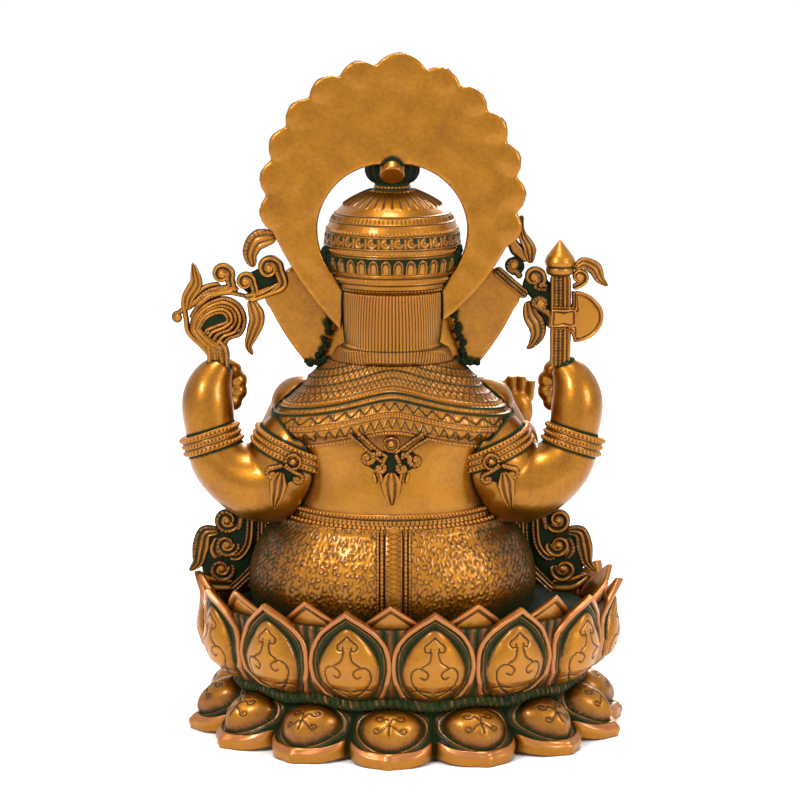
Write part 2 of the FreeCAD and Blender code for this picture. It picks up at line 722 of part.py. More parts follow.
# ---- the whole --------------------------------------------------------------------------------
def build_lotus():
    holes = [Part.makeCylinder(BOLT_RADIUS, 40, place + vec(FIGURE_X - LOTUS_X, 0, SEAT_Z - 20))
             for place in bolt_positions()]
    keep("lower_lotus", lower_lotus(), LOTUS_X)
    keep("lotus_waist", lotus_waist(), LOTUS_X)
    keep("lotus_cup", lotus_cup(), LOTUS_X)
    keep("upper_petals", upper_petals(), LOTUS_X)
    keep("rear_petals", rear_petals(), LOTUS_X)
    keep("seat_plate", seat_plate(holes), LOTUS_X)
    keep("fixing_bolts", fixing_bolts(), FIGURE_X)
    keep("fixing_washers", fixing_washers(), FIGURE_X)


def build_body():
    hip_body = hips_shape()
    torso_body = torso_shape()
    shawl = shawl_shape().cut(torso_body)
    keep("hips", hips(), FIGURE_X)
    keep("torso", torso(), FIGURE_X)
    keep("shoulder_shawl", shawl, FIGURE_X)
    belt = waist_belt()
    keep("waist_belt", belt, FIGURE_X)
    keep("back_sash", back_sash(), FIGURE_X)
    keep("back_pendant", without(back_pendant(), torso_body, shawl), FIGURE_X)
    taken = [hip_body, torso_body, shawl, belt]
    for side, name in ((1, "left"), (-1, "right")):
        arm = rear_arm(side)
        hand = rear_hand_shape(side)
        bracelet = rear_bracelet(side)
        band = armlet(side)
        keep(name + "_rear_arm", without(arm, *taken), FIGURE_X)
        keep(name + "_armlet", without(band, arm, *taken), FIGURE_X)
        keep(name + "_rear_hand", without(hand, arm), FIGURE_X)
        keep(name + "_rear_bracelet", without(bracelet, arm, hand), FIGURE_X)
        build_front_arm(side, name, taken + [arm, band])
        build_leg(side, name, taken)


def build_front_arm(side, name, taken):
    arm = front_arm_shape(side)
    hand = front_hand_shape(side)
    centre, axis = front_wrist(side)
    ring = collar(centre, axis, 14.5, 8.0)
    keep(name + "_front_arm", without(arm, *taken), FIGURE_X)
    keep(name + "_front_hand", without(hand, arm), FIGURE_X)
    keep(name + "_front_bracelet", without(ring, arm, hand), FIGURE_X)


def build_leg(side, name, taken):
    leg = leg_shape(side)
    foot = foot_shape(side)
    other = foot_shape(-side)
    ring = anklet(side)
    if side < 0:
        leg = without(leg, leg_shape(1))
        foot = without(foot, other, leg_shape(1))
        ring = without(ring, other, leg_shape(1))
    else:
        foot = without(foot, leg_shape(-1))
        ring = without(ring, other)
    keep(name + "_leg", without(leg, *taken), FIGURE_X)
    keep(name + "_foot", without(foot, leg), FIGURE_X)
    keep(name + "_anklet", without(ring, leg, foot), FIGURE_X)


def build_head():
    torso_body = torso_shape()
    head = head_shape()
    crown_body = crown_shape()
    hair = without(hair_shape(), head)
    trunk = trunk_shape()
    finial = crown_finial()
    aureole = aureole_shape()
    lug = without(aureole_lug(), aureole, finial)
    bosses = aureole_bosses()
    keep("head", without(head, head_core(), crown_body, torso_body), FIGURE_X)
    keep("trunk", without(trunk, head, torso_body), FIGURE_X)
    keep("hair", hair, FIGURE_X)
    keep("crown", crown(), FIGURE_X)
    keep("crown_finial", finial, FIGURE_X)
    keep("crown_crest", crown_crest(), FIGURE_X)
    keep("aureole", without(aureole, crown_body, hair, finial), FIGURE_X)
    keep("aureole_bosses", bosses, FIGURE_X)
    keep("aureole_lug", without(lug, crown_body), FIGURE_X)
    keep("necklace", without(necklace(), torso_body, shawl_shape(), head, trunk), FIGURE_X)
    for side, name in ((1, "left"), (-1, "right")):
        keep(name + "_ear", without(ear(side), head, hair, crown_body, torso_body), FIGURE_X)
        keep(name + "_tusk", without(tusk(side), head, trunk), FIGURE_X)


def build_emblems():
    left_hand = rear_hand_shape(1).fuse(rear_arm(1))
    right_hand = rear_hand_shape(-1).fuse(rear_arm(-1))
    vine = left_vine()
    noose = without(noose_emblem(), left_hand)
    keep("left_vine", without(vine, noose, ear(1)), FIGURE_X)
    keep("noose_emblem", noose, FIGURE_X)
    shaft = without(axe_shaft(), right_hand)
    finial = without(axe_finial(), axe_shaft())
    blade = without(axe_blade(), axe_shaft(), finial, right_hand)
    keep("axe_shaft", shaft, FIGURE_X)
    keep("axe_finial", finial, FIGURE_X)
    keep("axe_blade", blade, FIGURE_X)
    keep("right_vine", without(right_vine(), axe_shaft(), finial, blade, ear(-1)), FIGURE_X)
    for side, name in ((1, "left"), (-1, "right")):
        keep(name + "_side_scroll", without(side_scroll(side), hips_shape(), rear_arm(side), leg_shape(side)),
             FIGURE_X)
    hand = front_hand_shape(1)
    trunk = trunk_shape()
    bowl = without(sweet_bowl(), hand, trunk)
    keep("sweet_bowl", bowl, FIGURE_X)
    keep("sweets", without(sweets(), trunk), FIGURE_X)


def main():
    os.makedirs("parts", exist_ok=True)
    build_lotus()
    build_body()
    build_head()
    build_emblems()
    for name, shape in PARTS.items():
        shape.exportStep("parts/" + name + ".step")
        volume = shape.Volume / 1000
        print(f"{name:22s} solids {len(shape.Solids):2d} valid {shape.isValid()} {volume:7.1f} cm3")


main()
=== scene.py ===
import math

import bpy
import numpy as np
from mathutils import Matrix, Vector
from mathutils.bvhtree import BVHTree


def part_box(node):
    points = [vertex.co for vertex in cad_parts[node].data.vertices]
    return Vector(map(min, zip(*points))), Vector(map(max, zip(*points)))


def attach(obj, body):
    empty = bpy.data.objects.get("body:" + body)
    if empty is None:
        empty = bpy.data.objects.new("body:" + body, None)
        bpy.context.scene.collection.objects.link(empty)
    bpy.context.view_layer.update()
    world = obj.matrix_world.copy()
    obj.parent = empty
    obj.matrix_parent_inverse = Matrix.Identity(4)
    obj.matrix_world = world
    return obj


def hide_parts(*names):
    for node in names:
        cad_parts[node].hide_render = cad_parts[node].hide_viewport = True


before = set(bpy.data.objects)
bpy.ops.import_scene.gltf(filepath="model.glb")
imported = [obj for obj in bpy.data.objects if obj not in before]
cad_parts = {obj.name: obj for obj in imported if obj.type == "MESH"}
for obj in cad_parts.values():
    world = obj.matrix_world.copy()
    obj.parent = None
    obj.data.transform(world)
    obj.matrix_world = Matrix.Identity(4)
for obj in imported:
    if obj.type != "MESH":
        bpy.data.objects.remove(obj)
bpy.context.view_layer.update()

bl_info = {
    "name": "Brass Ganesha Idol",
    "version": (1, 0, 0),
    "blender": (4, 5, 0),
    "location": "3D View > Sidebar > Idol",
    "description": "Casts, chases and lacquers the pieces of a seated brass idol around its frame",
    "category": "Add Mesh",
}

MM = 0.001

# The relief attribute of every cast piece says how a place was left: 0 where it was rubbed bright,
# PLAIN on untouched metal, about 0.7 in cut lines, and GREEN where copper salts gathered. It also
# carries painted shade, raised towards the green on the flanks, low on the hips and under the shawl's hem.
PLAIN = 0.42
GREEN = 1.0

# The figure and the lotus were fixed a little off each other's middle, in millimetres.
FIGURE_X = 5.0
LOTUS_X = -5.0
LOTUS_LONG = 147.0      # half the length of the lotus's oval, along X
LOTUS_SHORT = 102.0     # half its depth, along Y
PETALS = 14
LOTUS_TURN = math.radians(-5.0)
PITCH = 2 * math.pi / PETALS
OVAL_EVEN = 0.05    # the upper rows stand closer at the back and front of the oval than at its ends

# The cup's section: heights, and the share of the oval that it reaches at each.
CUP_LEVELS = (38, 44, 54, 66, 80, 92, 112)
CUP_SHARES = (0.78, 0.85, 0.905, 0.92, 0.91, 0.925, 0.98)

RAY_START = 220.0       # rays at the figure start this far from its axis, outside every piece


# ---------------------------------------------------------------- shaping helpers


def smooth_step(value, low, high):
    """0 below low, 1 above high, and a soft rise between."""
    t = np.clip((value - low) / (high - low), 0, 1)
    return t * t * (3 - 2 * t)


def line_at(value, middle, width):
    """1 on a line at middle, fading within about its width."""
    return np.exp(-(((value - middle) / width) ** 2))


def wave(turns):
    """A bead's profile along a row, 0 between beads and 1 on each."""
    return np.abs(np.sin(np.pi * turns))


def zigzag(turns):
    """0 at whole turns and 1 halfway between."""
    return 1 - 2 * np.abs(turns - np.floor(turns) - 0.5)


def grain(*values):
    """A repeatable number from 0 to 1 for each set of whole numbers."""
    mix = sum(value * factor for value, factor in zip(values, (127.1, 311.7, 74.7)))
    scattered = np.sin(mix) * 43758.5453
    return scattered - np.floor(scattered)


def spline(points, count):
    """A smooth line through the points, as count places evenly spaced along it."""
    points = np.array(points, float)
    if len(points) > 2:
        padded = np.vstack([2 * points[0] - points[1], points, 2 * points[-1] - points[-2]])
        t = np.linspace(0, 1, 12, endpoint=False)[:, None]
        parts = []
        for a, b, c, d in zip(padded, padded[1:], padded[2:], padded[3:]):
            parts.append(0.5 * (2 * b + (c - a) * t + (2 * a - 5 * b + 4 * c - d) * t**2
                                + (3 * b - a - 3 * c + d) * t**3))
        points = np.vstack(parts + [points[-1:]])
    steps = np.concatenate([[0], np.cumsum(np.linalg.norm(np.diff(points, axis=0), axis=1))])
    even = np.linspace(0, steps[-1], count)
    columns = [np.interp(even, steps, points[:, k]) for k in range(points.shape[1])]
    return np.column_stack(columns), steps[-1]


def coil(x, z, radius, leave, turns=1.35, spin=1, tail=()):
    """A spiral from its eye out to the rim, which it leaves at an angle in degrees, and then its tail."""
    steps = int(10 * turns) + 2
    points = []
    for k in range(steps):
        t = k / (steps - 1)
        angle = math.radians(leave) - spin * (1 - t) * turns * 2 * math.pi
        reach = radius * (0.12 + 0.88 * t)
        points.append((x + reach * math.cos(angle), z + reach * math.sin(angle)))
    return points + list(tail)


def full_circle(count):
    """Even angles once around, each place once."""
    return np.linspace(0, 2 * math.pi, count, endpoint=False)


def ring_path(x, z, radius):
    """A small closed ring as a path."""
    return [(x + radius * math.cos(a), z + radius * math.sin(a)) for a in np.linspace(0, 2 * math.pi, 15)]


def on_figure(path, side=1):
    """A path drawn from the figure's middle, moved to where the figure stands; side -1 is its right."""
    return [(FIGURE_X + side * x, z) for x, z in path]


def line_distance(x, y, lines):
    """How far each place is from the nearest of the drawn lines."""
    nearest = np.full(x.shape, 1e3)
    for line in lines:
        for (ax, ay), (bx, by) in zip(line, line[1:]):
            dx, dy = bx - ax, by - ay
            t = np.clip(((x - ax) * dx + (y - ay) * dy) / max(dx * dx + dy * dy, 1e-9), 0, 1)
            nearest = np.minimum(nearest, np.hypot(x - ax - t * dx, y - ay - t * dy))
    return nearest


def mark_relief(piece, relief_and_shade):
    """Stores the relief of every vertex on the piece, with the painted shade that some pieces add to it."""
    attribute = piece.data.attributes.new("relief_and_shade", "FLOAT", "POINT")
    attribute.data.foreach_set("value", np.clip(relief_and_shade, 0, 1).astype(np.float32))


def places_of(piece):
    """The piece's vertices as rows of x, y, z."""
    flat = np.empty(len(piece.data.vertices) * 3, np.float32)
    piece.data.vertices.foreach_get("co", flat)
    return flat.reshape(-1, 3).astype(float)


def sealed(piece):
    """Seams and poles are closed, and every face points outwards."""
    bpy.ops.object.mode_set(mode="EDIT")
    bpy.ops.mesh.select_all(action="SELECT")
    bpy.ops.mesh.remove_doubles(threshold=1e-6)
    bpy.ops.mesh.normals_make_consistent(inside=False)
    bpy.ops.object.mode_set(mode="OBJECT")
    bpy.ops.object.shade_smooth()
    return piece


def moulded(name, across, along, place):
    """A grid bent to place(u, v), which gives points in millimetres and the relief at each."""
    bpy.ops.object.select_all(action="DESELECT")
    bpy.ops.mesh.primitive_grid_add(x_subdivisions=across, y_subdivisions=along, size=1)
    piece = bpy.context.object
    piece.name = name
    piece.data.name = name
    flat = places_of(piece) + 0.5
    points, relief_and_shade = place(np.round(flat[:, 0], 5), np.round(flat[:, 1], 5))
    piece.data.vertices.foreach_set("co", (points * MM).astype(np.float32).ravel())
    mark_relief(piece, relief_and_shade)
    return sealed(piece)


def joined(name, pieces):
    """Several castings brazed into one piece."""
    bpy.ops.object.select_all(action="DESELECT")
    for piece in pieces:
        piece.select_set(True)
    bpy.context.view_layer.objects.active = pieces[0]
    if len(pieces) > 1:
        bpy.ops.object.join()
    pieces[0].name = name
    pieces[0].data.name = name
    return pieces[0]


def kept(piece, finish, slot, *nodes):
    """The piece gets its finish, rides on the idol and stands for its CAD nodes."""
    piece.data.materials.clear()
    piece.data.materials.append(finish)
    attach(piece, "root")
    if nodes:
        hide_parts(*nodes)
    return piece


def surface_of(*nodes):
    """A tree of the CAD nodes' faces, for rays."""
    corners, faces = [], []
    for node in nodes:
        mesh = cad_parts[node].data
        start = len(corners)
        corners.extend(v.co / MM for v in mesh.vertices)
        faces.extend([start + k for k in face.vertices] for face in mesh.polygons)
    return BVHTree.FromPolygons(corners, faces)


def closest_gap(points, own, reach):
    """How near each place (mm) is to any other CAD piece, up to reach."""
    gap = np.full(len(points), float(reach))
    low, high = points.min(0) - reach, points.max(0) + reach
    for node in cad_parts:
        if node in own:
            continue
        a, b = (np.array(corner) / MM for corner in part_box(node))
        if (a > high).any() or (b < low).any():
            continue
        near = np.where(((points > a - reach) & (points < b + reach)).all(1))[0]
        if not len(near):
            continue
        tree = surface_of(node)
        for k in near:
            found = tree.find_nearest(Vector(points[k]), reach)
            if found[3] is not None and found[3] < gap[k]:
                gap[k] = found[3]
    return gap


class Wrap:
    """The reach of some CAD nodes around an upright axis, over turn and height, in millimetres."""

    def __init__(self, nodes, x, y, low, high, turns=120, levels=24, soften=1):
        tree = surface_of(*nodes)
        self.x, self.y, self.low, self.high = x, y, low, high
        self.turns, self.levels = turns, levels
        table = np.full((levels, turns), np.nan)
        for i, z in enumerate(np.linspace(low, high, levels)):
            for j in range(turns):
                angle = 2 * math.pi * j / turns
                out = Vector((-math.sin(angle), math.cos(angle), 0))
                hit = tree.ray_cast(Vector((x, y, z)) + out * RAY_START, -out, RAY_START)
                if hit[0] is not None:
                    table[i, j] = RAY_START - hit[3]
        for _ in range(levels):
            missing = np.isnan(table)
            if not missing.any():
                break
            for shift, axis in ((1, 0), (-1, 0), (1, 1), (-1, 1)):
                moved = np.roll(table, shift, axis)
                table = np.where(np.isnan(table), moved, table)
        for _ in range(soften):
            table = (table * 2 + np.roll(table, 1, 1) + np.roll(table, -1, 1)) / 4
            inner = (table[:-2] + 2 * table[1:-1] + table[2:]) / 4
            table = np.vstack([table[:1], inner, table[-1:]])
        self.table = table

    def reach(self, angle, z):
        i = np.clip((z - self.low) / (self.high - self.low), 0, 1) * (self.levels - 1)
        j = angle / (2 * math.pi) * self.turns
        i0 = np.minimum(np.floor(i).astype(int), self.levels - 2)
        j0 = np.floor(j).astype(int)
        fi, fj = i - i0, j - j0
        fj = fj * fj * (3 - 2 * fj) * 0.5 + fj * 0.5
        a = self.table[i0, j0 % self.turns] * (1 - fj) + self.table[i0, (j0 + 1) % self.turns] * fj
        b = self.table[i0 + 1, j0 % self.turns] * (1 - fj) + self.table[i0 + 1, (j0 + 1) % self.turns] * fj
        return a * (1 - fi) + b * fi

    def at(self, angle, z, lift=0.0):
        """Places on the surface, lifted along its own outward direction."""
        def bare(a, h):
            r = self.reach(a, h)
            return np.column_stack([self.x - r * np.sin(a), self.y + r * np.cos(a), h])
        here = bare(angle, z)
        around = bare(angle + 0.02, z) - bare(angle - 0.02, z)
        up = bare(angle, z + 0.8) - bare(angle, z - 0.8)
        out = np.cross(up, around)
        out /= np.linalg.norm(out, axis=1)[:, None]
        return here + out * np.broadcast_to(lift, angle.shape)[:, None]


class Backdrop:
    """The back (or front) of some CAD nodes as a height over x and z, for ornament laid on them."""

    def __init__(self, nodes, x_range, z_range, side=1, step=1.5, soften=2):
        tree = surface_of(*nodes)
        self.side = side
        self.x = np.arange(x_range[0], x_range[1] + step, step)
        self.z = np.arange(z_range[0], z_range[1] + step, step)
        table = np.full((len(self.z), len(self.x)), np.nan)
        for i, z in enumerate(self.z):
            for j, x in enumerate(self.x):
                hit = tree.ray_cast(Vector((x, side * 200, z)), Vector((0, -side, 0)), 400)
                if hit[0] is not None:
                    table[i, j] = hit[0].y
        for _ in range(60):
            if not np.isnan(table).any():
                break
            for shift, axis in ((1, 0), (-1, 0), (1, 1), (-1, 1)):
                table = np.where(np.isnan(table), np.roll(table, shift, axis), table)
        for _ in range(soften):
            table = (table * 2 + np.roll(table, 1, 1) + np.roll(table, -1, 1)) / 4
            table = (table * 2 + np.roll(table, 1, 0) + np.roll(table, -1, 0)) / 4
        self.table = table

    def height(self, x, z):
        i = np.clip((z - self.z[0]) / (self.z[1] - self.z[0]), 0, len(self.z) - 1.001)
        j = np.clip((x - self.x[0]) / (self.x[1] - self.x[0]), 0, len(self.x) - 1.001)
        i0, j0 = np.floor(i).astype(int), np.floor(j).astype(int)
        fi, fj = i - i0, j - j0
        a = self.table[i0, j0] * (1 - fj) + self.table[i0, j0 + 1] * fj
        b = self.table[i0 + 1, j0] * (1 - fj) + self.table[i0 + 1, j0 + 1] * fj
        return a * (1 - fi) + b * fi

    def at(self, x, z, lift):
        here = np.column_stack([x, self.height(x, z), z])
        slope_x = (self.height(x + 1, z) - self.height(x - 1, z)) / 2
        slope_z = (self.height(x, z + 1) - self.height(x, z - 1)) / 2
        slope_x = np.clip(slope_x, -2.5, 2.5)
        slope_z = np.clip(slope_z, -2.5, 2.5)
        out = np.column_stack([-slope_x, np.ones(len(x)), -slope_z]) * self.side
        out /= np.linalg.norm(out, axis=1)[:, None]
        return here + out * np.broadcast_to(lift, x.shape)[:, None]


class Flat:
    """An upright sheet at one depth, which ornament stands out of on both sides."""

    def __init__(self, y):
        self.y = y

    def at(self, x, z, lift):
        return np.column_stack([x, self.y + np.broadcast_to(lift, x.shape), z])


def stroke(name, path, half, sheet, depth=3.0, ribs=1, beaded=(), pitch=2.2, sunk=None, tone=0.0):
    """A ribbed strand laid on a sheet: half is its half width along the path, sunk is how far its back
    goes into the sheet (without it, both faces are ribbed), and tone darkens all of it."""
    _, length = spline(path, 8)
    count = max(int(length / 0.9), 10)
    line, length = spline(path, count + 1)
    tangent = np.gradient(line, axis=0)
    tangent /= np.linalg.norm(tangent, axis=1)[:, None] + 1e-9
    along = np.linspace(0, 1, count + 1)
    halves = np.atleast_1d(np.array(half, float))
    width = np.interp(along, np.linspace(0, 1, len(halves)), halves)
    end = max(width[0], width[-1], 0.8)

    def place(u, v):
        run = u * length
        cx, cz = np.interp(u, along, line[:, 0]), np.interp(u, along, line[:, 1])
        tx, tz = np.interp(u, along, tangent[:, 0]), np.interp(u, along, tangent[:, 1])
        near_end = np.clip(np.minimum(run, length - run) / end, 0, 1)
        taper = np.sqrt(near_end * (2 - near_end))
        wide = np.interp(u, along, width) * taper
        front = v < 0.5
        spread = np.where(front, 1 - 4 * v, 4 * v - 3)
        side = np.where((v == 0) | (v == 0.5) | (v == 1), 0.0, np.where(front, 1.0, -1.0))
        rib = np.floor(np.clip((spread + 1) / 2 * ribs, 0, ribs - 1e-6)).astype(int)
        crest = np.abs(np.sin(np.pi * ribs * (spread + 1) / 2)) ** 0.75
        if beaded:
            on = np.isin(rib, beaded)
            crest = np.where(on, crest * (0.3 + 0.7 * wave(run / pitch)), crest)
        lift = (0.42 + 0.58 * crest) * depth * (0.3 + 0.7 * taper)
        if sunk is None:
            lift = lift * side / 2
        else:
            lift = np.where(side > 0, lift, np.where(side < 0, -sunk, 0.0))
        lift = np.where(near_end == 0, 0.0, lift)
        points = sheet.at(cx + tz * spread * wide, cz - tx * spread * wide, lift)
        relief_and_shade = np.where(side == 0, 0.85, 0.94 - 0.64 * crest**0.8)
        return points, relief_and_shade + tone

    return moulded(name, count, 8 * ribs + 4, place)


def curl(x, z, size, leave, spin, tail, sheet, depth=6.0, turns=1.3, ribs=2, beaded=(0,), sunk=None):
    """A solid spiral of a ribbed strand with a ball for its eye; size is its outer radius."""
    half = 0.37 * size
    path = coil(x, z, size - half, leave, turns, spin, tail)
    widths = (0.7 * half, half, half, 0.9 * half)
    eye = sheet.at(np.array([float(x)]), np.array([float(z)]), 0.0 if sunk is None else 0.35 * depth)
    ball = max(0.27 * size, depth / 2 + 0.5) if sunk is None else 0.3 * size
    strand = stroke("curl", path, widths, sheet, depth, ribs, beaded, 2.0, sunk)
    return [strand, beads("eye", eye, ball, 0.25)]


def bed(sheet, path, half, depth):
    """The dark web of metal that strands stand on."""
    return stroke("bed", path, half, sheet, depth, 1, tone=0.75)


def strands(rows, sheet, side=1):
    """Strokes that are ribbed on both faces, from rows of name, path from the figure's middle, half
    width, depth, ribs, which ribs are beaded, and the beads' pitch."""
    return [stroke(name, on_figure(path, side), half, sheet, depth, ribs, beaded, pitch)
            for name, path, half, depth, ribs, beaded, pitch in rows]


def in_order(corners, faces):
    """The same mesh in a fixed order: a new sphere's corners and faces are listed differently each run."""
    order = np.lexsort(np.round(corners, 5).T)
    number = np.argsort(order)
    renumbered = [[int(number[k]) for k in face] for face in faces]
    starts = [face.index(min(face)) for face in renumbered]
    return corners[order], sorted(face[k:] + face[:k] for face, k in zip(renumbered, starts))


def beads(name, places, size, relief_and_shade=0.24):
    """A small ball at each place, one soldered row; size is a number or one for each."""
    bpy.ops.object.select_all(action="DESELECT")
    bpy.ops.mesh.primitive_uv_sphere_add(segments=8, ring_count=4, radius=1)
    seed = bpy.context.object
    ball, faces = in_order(places_of(seed), [face.vertices for face in seed.data.polygons])
    bpy.data.objects.remove(seed)
    places = np.array(places, float)
    sizes = np.broadcast_to(size, len(places)) * bpy.context.scene.idol_ornament.bead_scale
    corners = (places[:, None, :] + ball[None] * sizes[:, None, None]).reshape(-1, 3) * MM
    all_faces = [[k * len(ball) + v for v in face] for k in range(len(places)) for face in faces]
    mesh = bpy.data.meshes.new(name)
    mesh.from_pydata(corners.tolist(), [], all_faces)
    piece = bpy.data.objects.new(name, mesh)
    bpy.context.scene.collection.objects.link(piece)
    spread = np.tile(relief_and_shade + 0.75 * (1 - np.linalg.norm(ball, axis=1)), len(places))
    mark_relief(piece, spread)
    piece.select_set(True)
    bpy.context.view_layer.objects.active = piece
    bpy.ops.object.shade_smooth()
    return piece


def recast(name, nodes, voxel=1.2, passes=6, shape=None, green=2.2, base=PLAIN):
    """The CAD nodes run together and softened as a wax model is, then shaped further if shape is given.
    shape(points, outward) gives a lift along outward and the relief. Joints to other pieces go green."""
    bpy.ops.object.select_all(action="DESELECT")
    copies = []
    for node in nodes:
        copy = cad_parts[node].copy()
        copy.data = copy.data.copy()
        copy.parent = None
        for key in list(copy.keys()):
            del copy[key]
        bpy.context.scene.collection.objects.link(copy)
        copies.append(copy)
    piece = joined(name, copies)
    piece.matrix_world.identity()
    sealed(piece)
    bpy.ops.object.modifier_add(type="REMESH")
    piece.modifiers[-1].mode = "VOXEL"
    piece.modifiers[-1].voxel_size = voxel * MM
    bpy.ops.object.modifier_apply(modifier=piece.modifiers[-1].name)
    if passes:
        bpy.ops.object.modifier_add(type="SMOOTH")
        piece.modifiers[-1].iterations = passes
        bpy.ops.object.modifier_apply(modifier=piece.modifiers[-1].name)
    points = places_of(piece) / MM
    outward = np.empty(len(points) * 3, np.float32)
    piece.data.vertex_normals.foreach_get("vector", outward)
    outward = outward.reshape(-1, 3).astype(float)
    relief_and_shade = np.full(len(points), base)
    if shape:
        lift, relief_and_shade = shape(points, outward)
        moved = (points + outward * np.broadcast_to(lift, len(points))[:, None]) * MM
        piece.data.vertices.foreach_set("co", moved.astype(np.float32).ravel())
        piece.data.update()
    if green:
        gap = closest_gap(points, nodes, green)
        relief_and_shade = np.maximum(relief_and_shade, 1.0 - 0.62 * smooth_step(gap, 0.35 * green, green))
        relief_and_shade = np.where(gap >= green, np.broadcast_to(relief_and_shade, gap.shape), relief_and_shade)
    if "relief_and_shade" in piece.data.attributes:
        piece.data.attributes.remove(piece.data.attributes["relief_and_shade"])
    mark_relief(piece, relief_and_shade)
    bpy.ops.object.shade_smooth()
    return piece


# ---------------------------------------------------------------- materials


def linear(hex_colour):
    """An sRGB hex colour as linear RGBA."""
    parts = [int(hex_colour[k:k + 2], 16) / 255 for k in (1, 3, 5)]
    return tuple(c / 12.92 if c <= 0.04045 else ((c + 0.055) / 1.055) ** 2.4 for c in parts) + (1.0,)


def node(tree, kind, settings=None, links=None, stops=()):
    """Adds a node, with its settings (properties or input sockets), the links into it and any stops."""
    made = tree.nodes.new(kind)
    for key, value in (settings or {}).items():
        if hasattr(made, str(key)):
            setattr(made, key, value)
        else:
            made.inputs[key].default_value = value
    for key, socket in (links or {}).items():
        tree.links.new(socket, made.inputs[key])
    for number, (position, colour) in enumerate(stops):
        elements = made.color_ramp.elements
        element = elements[number] if number < len(elements) else elements.new(position)
        element.position = position
        element.color = colour
    return made


def cast_brass(name, shift=0.0, metal=0.92, rough=0.42):
    """Cast brass, chased, toned and lacquered: amber where plain, rubbed to a pinkish copper on raised
    edges, dark brown in cut lines, and left with green copper salts and flux in the recesses. The same
    browns and greens are also painted shade where a piece raises its relief for it. The lacquer gives
    small hard highlights; shift moves the whole piece towards the green, which on the side scrolls is
    painted shade as well."""
    colours = bpy.context.scene.idol_finish
    material = bpy.data.materials.new(name)
    material.use_nodes = True
    tree = material.node_tree
    tree.nodes.clear()
    place = node(tree, "ShaderNodeTexCoord").outputs["Object"]
    relief_and_shade = node(tree, "ShaderNodeAttribute", {"attribute_name": "relief_and_shade"}).outputs["Fac"]
    clouds = node(tree, "ShaderNodeTexNoise", {"Scale": 55.0, "Detail": 4.0}, {"Vector": place})
    specks = node(tree, "ShaderNodeTexNoise", {"Scale": 420.0, "Detail": 3.0}, {"Vector": place})
    broad = node(tree, "ShaderNodeMath", {"operation": "MULTIPLY_ADD", 1: 0.26, 2: -0.13 + shift},
                 {0: clouds.outputs["Fac"]})
    fine = node(tree, "ShaderNodeMath", {"operation": "MULTIPLY_ADD", 1: 0.24, 2: -0.12},
                {0: specks.outputs["Fac"]})
    both = node(tree, "ShaderNodeMath", {"operation": "ADD"}, {0: relief_and_shade, 1: broad.outputs[0]})
    tone = node(tree, "ShaderNodeMath", {"operation": "ADD", "use_clamp": True},
                {0: both.outputs[0], 1: fine.outputs[0]}).outputs[0]
    tones = ((0.0, colours.rubbed), (0.3, colours.amber), (0.52, colours.deep_amber),
             (0.72, colours.engraved), (0.86, colours.green), (1.0, colours.dark_green))
    colour = node(tree, "ShaderNodeValToRGB", {}, {"Fac": tone}, [(at, linear(tint)) for at, tint in tones])
    levels = {
        "metallic": ((0.0, metal), (0.6, metal), (0.9, 0.7)),
        "roughness": ((0.0, rough - 0.04), (0.5, rough), (0.75, 0.6), (0.92, 0.95)),
        "coat": ((0.0, 0.4), (0.55, 0.35), (0.8, 0.03)),
    }
    amount = {}
    for what, stops in levels.items():
        greys = [(at, (level, level, level, 1.0)) for at, level in stops]
        amount[what] = node(tree, "ShaderNodeValToRGB", {}, {"Fac": tone}, greys).outputs["Color"]
    bump = node(tree, "ShaderNodeBump", {"Strength": 0.12, "Distance": 0.0006},
                {"Height": specks.outputs["Fac"]})
    shader = node(tree, "ShaderNodeBsdfPrincipled", {"Coat Roughness": 0.06},
                  {"Base Color": colour.outputs["Color"], "Metallic": amount["metallic"],
                   "Roughness": amount["roughness"], "Coat Weight": amount["coat"],
                   "Normal": bump.outputs["Normal"]})
    node(tree, "ShaderNodeOutputMaterial", {}, {"Surface": shader.outputs["BSDF"]})
    return material


def bright_steel(name):
    """Zinc-plated steel of the fixings, turned and tumbled: grey, with soft reflections."""
    material = bpy.data.materials.new(name)
    material.use_nodes = True
    shader = material.node_tree.nodes["Principled BSDF"]
    shader.inputs["Base Color"].default_value = linear("#9A9C9E")
    shader.inputs["Metallic"].default_value = 1.0
    shader.inputs["Roughness"].default_value = 0.34
    return material


FINISHES = {}


def finish(name):
    """Each material is made once, when a piece first needs it."""
    makers = {
        "lacquered_brass": lambda: cast_brass("lacquered_brass"),
        # The greener brass is green salts and braze, and on the side scrolls painted shade as well.
        "green_and_shaded_brass": lambda: cast_brass("green_and_shaded_brass", shift=0.1, rough=0.44),
        "plain_brass": lambda: cast_brass("plain_brass", shift=-0.02, metal=0.95, rough=0.36),
        "bright_steel": lambda: bright_steel("bright_steel"),
    }
    if name not in FINISHES:
        FINISHES[name] = makers[name]()
    return FINISHES[name]


# ---------------------------------------------------------------- the lotus


def around_lotus(share, angle, z, lift=0.0):
    """A place on the lotus's oval, lifted outward in millimetres; angles go from the back towards -X."""
    x = -LOTUS_LONG * share * np.sin(angle)
    y = LOTUS_SHORT * share * np.cos(angle)
    nx = -LOTUS_SHORT * np.sin(angle)
    ny = LOTUS_LONG * np.cos(angle)
    size = np.hypot(nx, ny)
    height = np.broadcast_to(z, x.shape)
    return np.column_stack([LOTUS_X + x + nx / size * lift, y + ny / size * lift, height])


def petal_angle(step):
    """Where a petal of the upper rows stands."""
    turn = LOTUS_TURN + step * PITCH
    return turn - OVAL_EVEN * math.sin(2 * turn)


